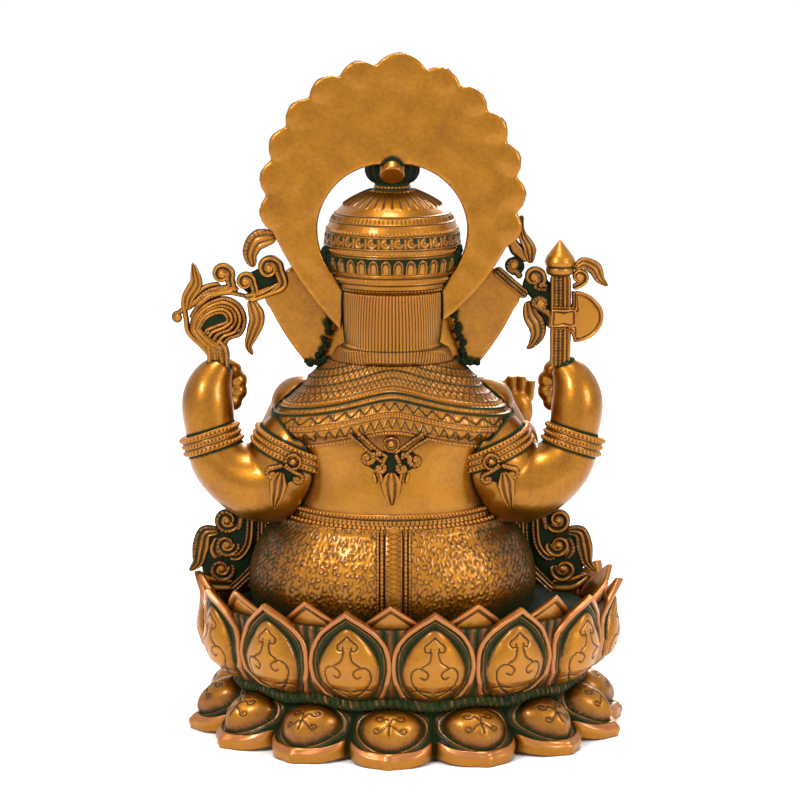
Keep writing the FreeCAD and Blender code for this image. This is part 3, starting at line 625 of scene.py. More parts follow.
def scrollwork(m):
    """The lines cut into one half of an upper petal's dome, in millimetres from the petal's foot;
    m is 1 for the half on +x and -1 for its mirror image."""
    return [
        spline([(0, 3), (7.9 * m, 9), (13.0 * m, 16), (13.7 * m, 23), (10.7 * m, 27), (6.3 * m, 26.2),
                (3.8 * m, 23), (5.6 * m, 19.6), (8.2 * m, 21)], 40)[0],
        spline([(1.9 * m, 37.6), (3.4 * m, 31.4), (7.6 * m, 27.9)], 16)[0],
        spline([(0, 47), (3.0 * m, 43.8), (5.9 * m, 41), (5.4 * m, 38), (2.9 * m, 37.8),
                (2.4 * m, 40)], 24)[0],
        spline([(2.2 * m, 9), (8.5 * m, 10.6), (13.6 * m, 9.4), (14 * m, 6.4), (11.4 * m, 6)], 20)[0],
    ]


def upper_relief(x, y, inside):
    """An upper petal's face: thick rubbed rim, green groove with fine ridges, then the engraved dome.
    x is across, y up from the foot, inside how far in from the outline."""
    rim = 1 - smooth_step(inside, 2.9, 3.7)
    ridge = line_at(inside, 4.9, 0.5) + 0.6 * line_at(inside, 6.6, 0.45)
    cy = 24.0
    tall = np.where(y > cy, 28.0, 25.0)
    narrow = 1 - 0.42 * np.clip((y - cy) / tall, 0, 1) ** 1.5
    egg = np.clip(1 - (x / (19.3 * narrow)) ** 2 - ((y - cy) / tall) ** 2, 0, 1)
    dome = np.sqrt(egg)
    cut = line_distance(x, y, scrollwork(1) + scrollwork(-1))
    line = np.exp(-((cut / 0.68) ** 2)) * smooth_step(egg, 0.02, 0.12)
    lift = 2.2 * rim + 0.9 * ridge + 6.2 * dome - 0.9 * line
    on_dome = smooth_step(egg, 0.0, 0.06)
    relief_and_shade = (1 - rim) * (1 - on_dome) * (0.98 - 0.5 * np.clip(ridge, 0, 1))
    relief_and_shade += rim * 0.08 + on_dome * (0.24 + 0.3 * (1 - dome))
    return lift, np.maximum(relief_and_shade, 0.86 * line)


def rear_relief(x, y, inside):
    """A rear petal's face: a flat diamond with a raised rim."""
    rim = 1 - smooth_step(inside, 2.4, 3.2)
    groove = line_at(inside, 4.0, 0.7)
    lift = 1.3 * rim - 0.5 * groove
    return lift, 0.1 * rim + (1 - rim) * 0.24 + 0.6 * groove


def petal(name, middle, levels, widths, stand, thick, face, across, along, bow):
    """One petal, closed and bent on the cup. levels are its foot and tip, widths its half width (a share
    of the pitch) over its height, stand how far it is off the cup, and bow how much its middle bulges."""
    foot, tip = levels
    t_mark = np.linspace(0, 1, 60)
    outline, _ = spline(widths, 60)
    nominal = 25.8      # half the pitch in millimetres, which the face is drawn to
    face_share, back_share = 0.66, 0.34     # of the way around the petal's section
    flare = 3.5         # how far the tip leans out
    height = tip - foot

    def half_at(t):
        return np.interp(t, outline[:, 0], outline[:, 1])

    edge = [np.column_stack([nominal * half_at(t_mark), t_mark * height])]
    left = [edge[0] * (-1, 1)]
    gap = 1 - 2 * OVAL_EVEN * math.cos(2 * middle)

    def place(u, v):
        t = v
        front = u < face_share
        spread = np.where(front, 1 - 2 * u / face_share, 2 * (u - face_share) / back_share - 1)
        half = half_at(t)
        x, y = spread * half * nominal, t * height
        lift = np.zeros(len(u))
        relief_and_shade = np.full(len(u), 0.3)
        near = front & (half > 0.001)
        inside = line_distance(x[near], y[near], edge + left)
        lift[near], relief_and_shade[near] = face(x[near], y[near], inside)
        fade = smooth_step(inside, 0.0, 0.9)
        lift[near] *= fade
        z = foot + height * t
        share = np.interp(z, CUP_LEVELS, CUP_SHARES)
        curve = bow * (1 - spread**2) * np.sin(np.pi * np.clip(t, 0, 1)) + stand + flare * t**3
        out = np.where(front, curve + thick + lift, curve)
        at_edge = (u == 0) | (np.abs(u - face_share) < 1e-4) | (u == 1)
        out = np.where(at_edge, curve + thick * 0.5, out)
        out = np.where((t == 0) | (t == 1), stand + thick * 0.5 + flare * t**3, out)
        half = np.where(t == 0, 0.0, half)
        points = around_lotus(share, middle + spread * half * gap * PITCH / 2, z, out)
        return points, relief_and_shade

    return moulded(name, across, along, place)


# A petal's outline: share of its height, then half width as a share of the pitch.
UPPER_OUTLINE = ((0, 0.7), (0.1, 0.85), (0.28, 0.99), (0.44, 1.02), (0.6, 0.95), (0.75, 0.73), (0.86, 0.44),
                 (0.94, 0.18), (1.0, 0.0))
REAR_OUTLINE = ((0, 0.5), (0.3, 0.9), (0.52, 1.0), (0.74, 0.66), (0.9, 0.27), (1.0, 0.0))


class IDOL_OT_upper_petals(bpy.types.Operator):
    """Chases the fourteen engraved petals of the upper row."""

    bl_idname = "idol.upper_petals"
    bl_label = "Upper petals"

    def execute(self, context):
        for name, side in (("back", 1), ("front", -1)):
            made = []
            for k in range(PETALS):
                middle = petal_angle(k + 0.5)
                if (math.cos(middle) > 0) != (side > 0):
                    continue
                made.append(petal("petal", middle, (39.5, 103.0), UPPER_OUTLINE, -4.6, 3.4, upper_relief,
                                  99, 96, 2.6))
            kept(joined("upper_petals_" + name, made), finish("lacquered_brass"), "brass", "upper_petals")
        return {"FINISHED"}


class IDOL_OT_rear_petals(bpy.types.Operator):
    """Sets the plain pointed petals that show between the upper ones."""

    bl_idname = "idol.rear_petals"
    bl_label = "Rear petals"

    def execute(self, context):
        made = []
        for k in range(PETALS):
            made.append(petal("petal", petal_angle(k), (53.0, 106.5), REAR_OUTLINE, -8.6, 2.6, rear_relief,
                              45, 40, 1.2))
        kept(joined("rear_petals_cast", made), finish("lacquered_brass"), "brass", "rear_petals")
        return {"FINISHED"}


class IDOL_OT_lotus_base(bpy.types.Operator):
    """Casts the foot with its drooping petals, the rope ring and the fluted cup wall."""

    bl_idname = "idol.lotus_base"
    bl_label = "Lotus base"

    def execute(self, context):
        self.foot()
        self.rope()
        self.cup()
        return {"FINISHED"}

    def foot(self):
        face, inside = 0.62, 0.38   # the outer and inner faces' shares of the section
        brink, lip_share = 0.93, 0.07   # of the outer face: where its lip starts, and the lip
        root, top = 0.742, 33.0     # where the foot meets the waist: share of the oval, and height
        lip_height = 5.5

        def place(u, v):
            angle = 2 * math.pi * u
            phase = (angle - LOTUS_TURN) / PITCH
            s = 2 * (phase - np.round(phase))
            petal_number = np.round(phase).astype(int) % PETALS
            edge = 0.83 + 0.15 * (1 - np.abs(s) ** 2.4) ** 0.75 + 0.02 * np.exp(-((s / 0.16) ** 2))
            droop = 7.0 * np.abs(s) ** 3
            outer = v <= face
            t = np.clip(v / face, 0, 1)
            on_lip = t > brink
            lip = smooth_step(t, brink, 1.0)
            share = root + (edge - root) * np.minimum(t / brink, 1)
            z = top - (top - lip_height) * np.minimum(t / brink, 1) ** 1.15
            z = np.where(on_lip, lip_height - lip_height * (t - brink) / lip_share, z)
            lip_droop = np.where(on_lip, 0.55 + 0.45 * (1 - t) / lip_share, 1.0)
            z = z + droop * smooth_step(t, 0.4, brink) * lip_droop
            across = s * 23.0
            down = np.minimum(t / brink, 1) * 41.0
            ring = np.sqrt((across / 17.4) ** 2 + ((down - 18.5) / 15.5) ** 2)
            egg = np.clip(1 - ring**2, 0, 1)
            dome = np.sqrt(egg)
            ridge = line_at(ring, 1.13, 0.05) + 0.6 * line_at(ring, 1.26, 0.04)
            seam = smooth_step(np.abs(s), 0.9, 0.985)
            lines = []
            for mirror in (1, -1):
                lines.append(spline(coil(5.4 * mirror, 14.5, 2.8, 95 if mirror > 0 else 85, 1.1, mirror,
                                         ((2.0 * mirror, 15.0), (0, 20.0), (0.0, 27.0))), 26)[0])
                lines.append(spline(coil(6.4 * mirror, 24.0, 2.2, 100 if mirror > 0 else 80, 1.0, mirror,
                                         ((2.4 * mirror, 22.0), (0, 20.0))), 22)[0])
            cut = np.exp(-((line_distance(across, down, lines) / 0.6) ** 2)) * (egg > 0.05)
            swell = 1 - lip
            lift = swell * (10.5 * dome + 0.9 * ridge * (ring > 1) - 0.6 * cut - 1.2 * seam)
            rim = smooth_step(down, 35.5, 36.8) * (1 - lip)
            lift += 1.4 * rim * (1 - seam)
            relief_and_shade = np.where(ring > 1, 0.95 - 0.5 * np.clip(ridge, 0, 1), 0.32 + 0.3 * (1 - dome))
            relief_and_shade = relief_and_shade * (1 - rim) + 0.06 * rim
            relief_and_shade = np.where(on_lip, 0.3, relief_and_shade)
            relief_and_shade = np.maximum(np.maximum(relief_and_shade, 0.86 * cut), 0.98 * seam)
            slope = np.where(on_lip, 0.0, 0.72)
            points = around_lotus(share, angle, z + lift * slope, lift * (1 - slope * 0.4))
            w = (v - face) / inside
            under_share = np.interp(w, (0, 0.3, 0.95, 1), (0.83, 0.82, 0.70, root))
            under_z = np.interp(w, (0, 0.02, 0.3, 0.95, 1), (0.0, 0.0, 3.0, 30.5, top))
            under_z = under_z + np.where(w <= 0.02, droop * 0.55, 0.0)
            under_share = np.where(w < 0.02, edge, under_share)
            inner = around_lotus(under_share, angle, under_z)
            points = np.where(outer[:, None], points, inner)
            tint = 0.02 * (petal_number % 3)
            return points, np.where(outer, relief_and_shade + tint, 0.66)

        base = moulded("lower_lotus_cast", 784, 96, place)
        kept(base, finish("lacquered_brass"), "brass", "lower_lotus")

    def rope(self):
        def place(u, v):
            angle = 2 * math.pi * u
            phi = 2 * math.pi * v
            phase = (angle - LOTUS_TURN) / PITCH * 2 * math.pi
            knob = wave(u * 168 + 0.35 * np.sin(phi)) * np.maximum(np.cos(phi), 0) ** 0.5
            rough = grain(np.floor(u * 392), np.floor(v * 12) % 12)
            rise = 1.1 * np.cos(phase)
            reach = 5.2 + 0.9 * knob + 0.5 * (rough - 0.5)
            z = 38 + rise + reach * 0.92 * np.sin(phi)
            reach_out = 3.0 + reach * np.cos(phi)
            ends = (u == 0) | (u == 1)
            steady = 5.2 + 0.9 * wave(0.35 * np.sin(phi)) * np.maximum(np.cos(phi), 0) ** 0.5
            reach_out = np.where(ends, 3.0 + steady * np.cos(phi), reach_out)
            z = np.where(ends, 38 + rise + steady * 0.92 * np.sin(phi), z)
            points = around_lotus(0.755, angle, z, np.maximum(reach_out, -1.5))
            return points, 0.98 - 0.45 * knob * rough

        band = moulded("lotus_waist_rope", 784, 16, place)
        kept(band, finish("lacquered_brass"), "brass", "lotus_waist")

    def cup(self):
        def place(u, v):
            angle = 2 * math.pi * u
            outer = v <= 0.7
            t = np.clip(v / 0.7, 0, 1)
            z = 40 + 52 * t
            share = np.interp(z, CUP_LEVELS, CUP_SHARES)
            rib = wave(u * PETALS * 8)
            points = around_lotus(share, angle, z, 0.9 * rib - 1.0)
            w = np.clip((v - 0.7) / 0.3, 0, 1)
            inner_z = 92 - 52 * w
            back = around_lotus(np.interp(inner_z, CUP_LEVELS, CUP_SHARES), angle, inner_z,
                                np.where(w >= 1, -1.0 + 0.9 * rib, -4.5))
            points = np.where(outer[:, None], points, back)
            return points, np.where(outer, 1.0 - 0.4 * rib, 0.7)

        wall = moulded("lotus_cup_wall", PETALS * 8 * 5, 24, place)
        kept(wall, finish("lacquered_brass"), "brass", "lotus_cup")


# ---------------------------------------------------------------- the body


def capped(v, rows):
    """Heights along a closed skin: 0 to 1, and True on the two end rows, which close on the axis."""
    t = np.clip((v - 1 / rows) / (1 - 2 / rows), 0, 1)
    return t, (v == 0) | (v == 1)


def skin(name, wrap, low, high, across, rows, dress):
    """A closed skin on a wrap, from low to high (numbers, or a function of the angle for low).
    dress(u, angle, z, above) gives the lift and the relief."""
    def place(u, v):
        angle = 2 * math.pi * np.where(u == 1, 0.0, u)
        t, end = capped(v, rows)
        bottom = low(angle) if callable(low) else np.full(len(u), float(low))
        z = bottom + (high - bottom) * t
        lift, relief_and_shade = dress(u, angle, z, z - bottom)
        points = wrap.at(angle, z, lift)
        middle = bottom.mean() if callable(low) else low
        axis = np.column_stack([np.full(len(u), wrap.x), np.full(len(u), wrap.y),
                                np.where(v < 0.5, middle, high)])
        return np.where(end[:, None], axis, points), relief_and_shade

    return moulded(name, across, rows, place)


def punched(u, cells, z, pitch):
    """C-shaped punch marks scattered over cloth: how deep each place is, 0 to 1."""
    depth = np.zeros(len(u))
    row = np.floor(z / pitch)
    column = np.floor(u * cells)
    for i in (-1, 0, 1):
        for j in (-1, 0, 1):
            c, r = column + i, row + j
            key = np.mod(c, cells)
            cx = c + 0.5 + 0.55 * (grain(key, r) - 0.5)
            cz = r + 0.5 + 0.55 * (grain(r, key) - 0.5)
            dx, dz = (u * cells - cx) * pitch, z - cz * pitch
            turn = np.arctan2(dz, dx) - 2 * np.pi * grain(key, r, 3.0)
            open_side = smooth_step(np.cos(turn), 0.5, 0.8)
            depth = np.maximum(depth, line_at(np.hypot(dx, dz), pitch * 0.36, 0.4) * (1 - open_side))
    return depth


def hem_height(angle):
    """The shawl's hem: low at the shoulders, highest at the middle of the back and front."""
    return 208.0 - 15.0 * np.abs(np.sin(angle)) ** 1.6


def shawl_dress(u, angle, z, above):
    """Chased rows of the shawl, from the hem up."""
    lift = 0.5 * smooth_step(above, 0.0, 0.8)
    dark = np.zeros(len(u))
    for height, width, deep in ((2.9, 0.45, 0.6), (11.0, 0.4, 0.5), (14.6, 0.4, 0.5), (21.8, 0.9, 1.5),
                                (26.2, 0.8, 1.3), (30.6, 0.4, 0.5), (35.5, 0.4, 0.5), (40.2, 0.5, 0.8),
                                (46.0, 0.5, 0.6), (51.0, 0.5, 0.6)):
        line = line_at(above, height, width * 1.35)
        lift = lift - deep * line
        dark = np.maximum(dark, line * (0.55 + 0.45 * min(deep, 1)))
    x = u * 52
    inside = smooth_step(above, 3.6, 4.0) * (1 - smooth_step(above, 10.0, 10.4))
    rise = (above - 4.0) / 6.2
    edge = line_at(zigzag(x) - rise, 0.0, 0.14)
    hatch = (zigzag(x) > rise) * smooth_step(wave(x * 2.5 + above * 0.5), 0.5, 0.1)
    mark = inside * np.maximum(edge, 0.8 * hatch)
    inside = smooth_step(above, 15.0, 15.4) * (1 - smooth_step(above, 20.6, 21.0))
    swing = line_at(above - 18.0 - 1.9 * np.sin(2 * np.pi * u * 36), 0.0, 0.65)
    ticks = smooth_step(wave(u * 36 * 5), 0.5, 0.1) * (np.abs(np.sin(np.pi * u * 36)) > 0.7)
    mark = np.maximum(mark, inside * np.maximum(swing, 0.8 * ticks))
    inside = smooth_step(above, 23.0, 23.3) * (1 - smooth_step(above, 25.0, 25.4))
    mark = np.maximum(mark, 0.8 * inside * smooth_step(wave(u * 170), 0.4, 0.0))
    inside = smooth_step(above, 31.0, 31.4)
    cross = np.minimum(wave(u * 84 + above * 0.2), wave(u * 84 - above * 0.2))
    mark = np.maximum(mark, 0.8 * inside * smooth_step(cross, 0.42, 0.05))
    lift = lift - 0.55 * mark
    return lift, np.maximum(0.38 + 0.52 * mark, dark)


class IDOL_OT_body(bpy.types.Operator):
    """Casts the hips in their punched cloth, the bare back and the chased shawl."""

    bl_idname = "idol.body"
    bl_label = "Hips, torso and shawl"

    def execute(self, context):
        hips = Wrap(("hips",), FIGURE_X, 5.0, 82, 146, levels=20)

        def cloth(u, angle, z, above):
            depth = punched(u, 104, z, 4.9)
            side = smooth_step(np.abs(np.sin(angle)), 0.72, 0.98)
            low = 1 - smooth_step(z, 82, 104)
            fur = smooth_step(wave(u * 300 + z * 0.12), 0.5, 0.1) * side
            lift = 0.35 - 0.6 * np.maximum(depth * (1 - side), 0.7 * fur)
            # Painted shade: 0.2 * side darkens the cloth towards the green on the flanks, and 0.3 * low
            # darkens it low down, where the hips sink behind the petals. The punch marks and the fur are the
            # cloth's own.
            relief_and_shade = 0.34 + 0.42 * np.maximum(depth, 0.7 * fur) + 0.2 * side + 0.3 * low
            return lift, relief_and_shade

        piece = skin("hips_cloth", hips, 81.5, 147, 720, 78, cloth)
        kept(piece, finish("lacquered_brass"), "brass", "hips")

        torso = Wrap(("torso",), FIGURE_X, 2.0, 147, 236, levels=24)

        def back(u, angle, z, above):
            spine = line_at(np.sin(angle), 0, 0.08) * (np.cos(angle) > 0) * smooth_step(z, 150, 165)
            # Painted shade: high darkens the back just under the shawl's hem, and the flank term darkens the
            # flanks towards the green. low makes it darker just above the belt.
            low = 1 - smooth_step(z, 150, 158)
            high = smooth_step(z, 196, 208)
            painted_flank_shade = smooth_step(np.abs(np.sin(angle)), 0.76, 0.97)
            return -0.6 * spine, 0.34 + 0.25 * low + 0.3 * high + 0.5 * painted_flank_shade * smooth_step(z, 150, 156)

        piece = skin("torso_back", torso, 146, 236, 220, 70, back)
        kept(piece, finish("lacquered_brass"), "brass", "torso")

        shawl = Wrap(("shoulder_shawl", "torso"), FIGURE_X, 6.0, 190, 250, levels=40)
        piece = skin("shawl_cloth", shawl, hem_height, 250.5, 800, 96, shawl_dress)
        rows = []
        for above, count, size in ((1.3, 150, 1.25), (12.2, 150, 1.0), (13.6, 150, 1.0), (29.0, 130, 1.05)):
            angle = full_circle(count)
            rows.append(beads("row", shawl.at(angle, hem_height(angle) + above, 0.6), size))
        kept(joined("shoulder_shawl_cloth", [piece] + rows), finish("lacquered_brass"), "brass",
             "shoulder_shawl")
        return {"FINISHED"}


def belt_dress(u, angle, z, above):
    """The belt's band of small upright ticks between two cut lines."""
    lift = 0.3 + 0.9 * line_at(above, 4.5, 3.2)
    ticks = smooth_step(wave(u * 120), 0.45, 0.1) * line_at(above, 4.6, 1.6)
    lines = np.maximum(line_at(above, 2.6, 0.4), line_at(above, 6.6, 0.4))
    mark = np.maximum(ticks, lines)
    return lift - 0.6 * mark, 0.34 + 0.55 * mark


class IDOL_OT_back_ornament(bpy.types.Operator):
    """Lays the belt, the sash and the pendant on the back."""

    bl_idname = "idol.back_ornament"
    bl_label = "Belt, sash and pendant"

    def execute(self, context):
        belt = Wrap(("waist_belt",), FIGURE_X, 2.0, 147, 155.5, levels=8)
        piece = skin("belt_band", belt, 146.5, 156, 480, 26, belt_dress)
        rows = []
        for z, count, size in ((148.0, 118, 1.75), (154.8, 150, 1.25)):
            angle = full_circle(count)
            rows.append(beads("row", belt.at(angle, np.full(count, z), 0.4), size))
        kept(joined("waist_belt_beaded", [piece] + rows), finish("lacquered_brass"), "brass", "waist_belt")

        hips = Backdrop(("hips", "waist_belt"), (-60, 70), (82, 158))
        middle = FIGURE_X - 1.0
        sash = [(middle, z) for z in (150, 115, 84)]
        made = [stroke("sash", sash, (0.8,) + (7.2,) * 20 + (0.8,), hips, 1.3, 1, sunk=2.0)]
        for side in (1, -1):
            for x, half, depth, pitch in ((7.6, 1.5, 2.6, 2.4), (10.2, 1.3, 2.2, 2.2)):
                border = [(middle + side * x, z) for z in (147.5, 115, 84)]
                made.append(stroke("border", border, half, hips, depth, 1, (0,), pitch, 2.0))
        for z in range(86, 146, 3):
            for low, high in ((z, z + 3), (z + 3, z)):
                thread = [(middle - 5, low), (middle + 5, high)]
                made.append(stroke("weave", thread, 0.45, hips, 2.2, 1, sunk=1.0))
        kept(joined("back_sash_woven", made), finish("lacquered_brass"), "brass", "back_sash")

        back = Backdrop(("torso", "shoulder_shawl"), (-60, 70), (140, 225))
        made = []
        for path in ([(27.4, 208.8), (16, 198), (5.5, 190)], [(23.4, 211.5), (13, 201), (3.5, 194)],
                     [(-23.7, 206.2), (-13, 199), (-5, 192)], [(-20, 209.5), (-10, 202), (-1.5, 196)]):
            made.append(stroke("strap", on_figure(path), 1.5, back, 3.0, 1, (0,), 2.3, 1.5))
        x0 = FIGURE_X + 0.6
        made.append(bed(back, [(x0 - 17, 193), (x0, 190), (x0 + 17, 194)], (5, 9, 5), 1.8))
        made.append(bed(back, [(x0, 190), (x0, 182), (x0, 176)], (8, 8, 5), 1.8))
        for x, z, r, leave, spin in ((15.6, 193.0, 6.6, 150, -1), (7.8, 186.6, 5.6, 120, -1),
                                     (-6.4, 186.6, 5.6, 60, 1), (-14.6, 191.6, 6.6, 30, 1)):
            tail = ((x0 + (x - 0.6) * 0.35, 196.0),)
            made += curl(FIGURE_X + x, z, r, leave, spin, tail, back, 3.6, 1.2, 1, (0,), 1.5)
        made.append(stroke("drop", [(x0, 184.5), (x0, 177), (x0 - 0.3, 170), (x0 - 0.6, 162.5)],
                           (3.0, 7.4, 5.6, 0.8), back, 4.2, 3, (), 2.2, 1.5))
        made.append(stroke("ring", ring_path(x0, 201.9, 4.6), 1.2, back, 3.4, 1, (0,), 1.9, 1.5))
        ball = back.at(np.array([x0]), np.array([201.9]), 1.4)
        made.append(beads("ball", ball, 2.6))
        for x in (-11, -6.5, 7, 11.5):
            drop = [(x0 + x, 184), (x0 + x * 0.9, 180), (x0 + x * 0.8, 176.5)]
            made.append(stroke("tassel", drop, (1.0, 1.8, 0.7), back, 3.0, 1, sunk=1.5))
        kept(joined("back_pendant_chased", made), finish("lacquered_brass"), "brass", "back_pendant")
        return {"FINISHED"}


def collar(name, centre, axis, radius, length, rows):
    """A band around a limb: rows are (place along 0 to 1, bead size, beads around)."""
    axis = np.array(axis, float)
    axis /= np.linalg.norm(axis)
    side = np.cross(axis, (0.0, 1.0, 0.0))
    side /= np.linalg.norm(side)
    other = np.cross(axis, side)
    centre = np.array(centre, float)

    def place(u, v):
        angle = 2 * math.pi * np.where(u == 1, 0.0, u)
        outer = v <= 0.7
        t = np.clip(v / 0.7, 0, 1)
        mark = np.zeros(len(u))
        for k in range(1, 6):
            mark = np.maximum(mark, line_at(t, k / 6, 0.03))
        lift = 0.4 - 0.6 * mark
        reach = np.where(outer, radius + lift, radius - 2.5)
        w = np.where(outer, t, 1 - np.clip((v - 0.7) / 0.3, 0, 1))
        reach = np.where((v == 0) | (v == 1), radius, reach)
        out = np.cos(angle)[:, None] * side + np.sin(angle)[:, None] * other
        return centre + out * reach[:, None] + axis * ((w - 0.5) * length)[:, None], 0.34 + 0.6 * mark

    made = [moulded(name, 120, 30, place)]
    for at, size, count in rows:
        angle = full_circle(count)
        out = np.cos(angle)[:, None] * side + np.sin(angle)[:, None] * other
        made.append(beads("row", centre + out * (radius + 0.3) + axis * (at - 0.5) * length, size))
    return made


class IDOL_OT_arms(bpy.types.Operator):
    """Casts the arms, hands and legs smooth, and puts on the armlets and the rear bracelets."""

    bl_idname = "idol.arms"
    bl_label = "Arms, hands and legs"

    def execute(self, context):
        for side, name in ((1, "left"), (-1, "right")):
            rear = [name + "_rear_arm"]
            kept(recast(name + "_rear_arm_cast", rear, 1.3, 8), finish("plain_brass"), "brass", *rear)
            hand = [name + "_rear_hand"]
            kept(recast(name + "_rear_hand_cast", hand, 0.9, 5), finish("plain_brass"), "brass", *hand)
            for part, voxel, passes in (("front_arm", 1.4, 8), ("front_hand", 1.0, 4), ("leg", 1.5, 8),
                                        ("foot", 1.0, 4)):
                own = [name + "_" + part]
                kept(recast(own[0] + "_cast", own, voxel, passes), finish("lacquered_brass"), "brass", *own)
            centre = (FIGURE_X + side * 63, 11, 191)
            made = collar("armlet", centre, (side * 0.383, 0, -0.923), 29.6, 12,
                          ((0.14, 1.5, 66), (0.5, 1.3, 74), (0.86, 1.5, 66)))
            made += self.armlet_front(side)
            kept(joined(name + "_armlet_chased", made), finish("lacquered_brass"), "brass",
                 name + "_armlet")
            centre = (FIGURE_X + side * 119, 10, 197)
            made = collar("bracelet", centre, (side * 0.3, -0.1, 0.95), 19.4, 13,
                          ((0.16, 1.5, 42), (0.5, 1.2, 50), (0.84, 1.5, 42)))
            kept(joined(name + "_rear_bracelet_chased", made), finish("lacquered_brass"), "brass",
                 name + "_rear_bracelet")
        return {"FINISHED"}

    def armlet_front(self, side):
        """The small ring, two curls and leaf that hang under an armlet, on the back of the arm."""
        arm = "left" if side > 0 else "right"
        xs = sorted((FIGURE_X + side * 30, FIGURE_X + side * 100))
        sheet = Backdrop((arm + "_rear_arm", arm + "_armlet", "torso"), xs, (140, 220))
        ring = on_figure(ring_path(64, 188.6, 4.4), side)
        made = [stroke("ring", ring, 1.3, sheet, 3.6, 1, (0,), 1.9, 1.5)]
        ball = sheet.at(np.array([FIGURE_X + side * 64.0]), np.array([188.6]), 1.3)
        made.append(beads("ball", ball, 2.3))
        made.append(bed(sheet, on_figure([(63, 181), (70, 180), (77, 182)], side), (4, 7, 4), 1.8))
        for x, z, r, leave, spin in ((77.5, 180.0, 6.0, 100, 1), (62.0, 177.0, 6.0, 90, -1)):
            if side < 0:
                leave, spin = 180 - leave, -spin
            tail = on_figure([(70, 186)], side)
            made += curl(FIGURE_X + side * x, z, r, leave, spin, tail, sheet, 3.8, 1.2, 1, (0,), 1.5)
        leaf = on_figure([(71.5, 182), (73.5, 174), (75, 167), (77.5, 157.5)], side)
        made.append(stroke("leaf", leaf, (2.0, 6.4, 4.6, 0.6), sheet, 4.4, 3, (), 2.0, 1.5))
        return made


# ---------------------------------------------------------------- head, hair, crown and aureole


def crown_dress(u, angle, z, above):
    """The crown's bands, by height."""
    lift = np.zeros(len(u))
    dark = np.zeros(len(u))
    for height, width, deep in ((299.0, 0.5, 0.7), (302.5, 0.5, 0.7), (307.0, 0.5, 0.8),
                                (321.0, 0.45, 0.7), (325.0, 0.45, 0.7), (334.0, 0.4, 0.5),
                                (340.5, 0.45, 0.7), (345.3, 0.45, 0.7)):
        line = line_at(z, height, width)
        lift -= deep * line
        dark = np.maximum(dark, 0.92 * line)
    lift += 1.0 * line_at(z, 308.7, 0.7) + 0.7 * line_at(z, 301, 0.8)
    inside = smooth_step(z, 309.8, 310.3) * (1 - smooth_step(z, 319.8, 320.3))
    x = 2 * (u * 34 - np.floor(u * 34)) - 1
    arch = np.hypot(x / 0.98, np.maximum(z - 313.6, 0) / 6.4)
    tongue = 1 - smooth_step(arch, 0.78, 0.92)
    slit = line_at(arch, 0.52, 0.1)
    lift += inside * (-1.4 + 1.9 * tongue - 0.7 * slit)
    dark = np.maximum(dark, inside * np.where(tongue > 0.5, 0.30 + 0.55 * slit, 0.98))
    inside = smooth_step(z, 325.8, 326.3) * (1 - smooth_step(z, 333.0, 333.5))
    x = (u * 32 - np.floor(u * 32) - 0.5) * 8.4
    y = z - 329.7
    ring = line_at(np.hypot(x, y), 2.3, 1.05) * (1 - (x > 0.6) * (y > 0))
    dot = line_at(np.hypot(x, y), 0, 1.1)
    join = line_at(np.abs(x), 4.2, 0.9) * (np.abs(y) < 3)
    swirl = np.maximum(np.maximum(ring, dot), join)
    lift += inside * (0.7 * swirl - 0.5)
    dark = np.maximum(dark, inside * (0.88 - 0.62 * swirl))
    inside = smooth_step(z, 341.4, 341.8) * (1 - smooth_step(z, 344.0, 344.4))
    tick = smooth_step(wave(u * 90), 0.45, 0.1)
    lift -= 0.5 * inside * tick
    dark = np.maximum(dark, 0.85 * inside * tick)
    flute = smooth_step(z, 350.0, 350.8)
    slit = 1 - smooth_step(wave(u * 34), 0.06, 0.4)
    lift -= 1.1 * flute * slit
    dark = np.maximum(dark, 0.9 * flute * slit)
    return lift, np.maximum(dark, 0.36)


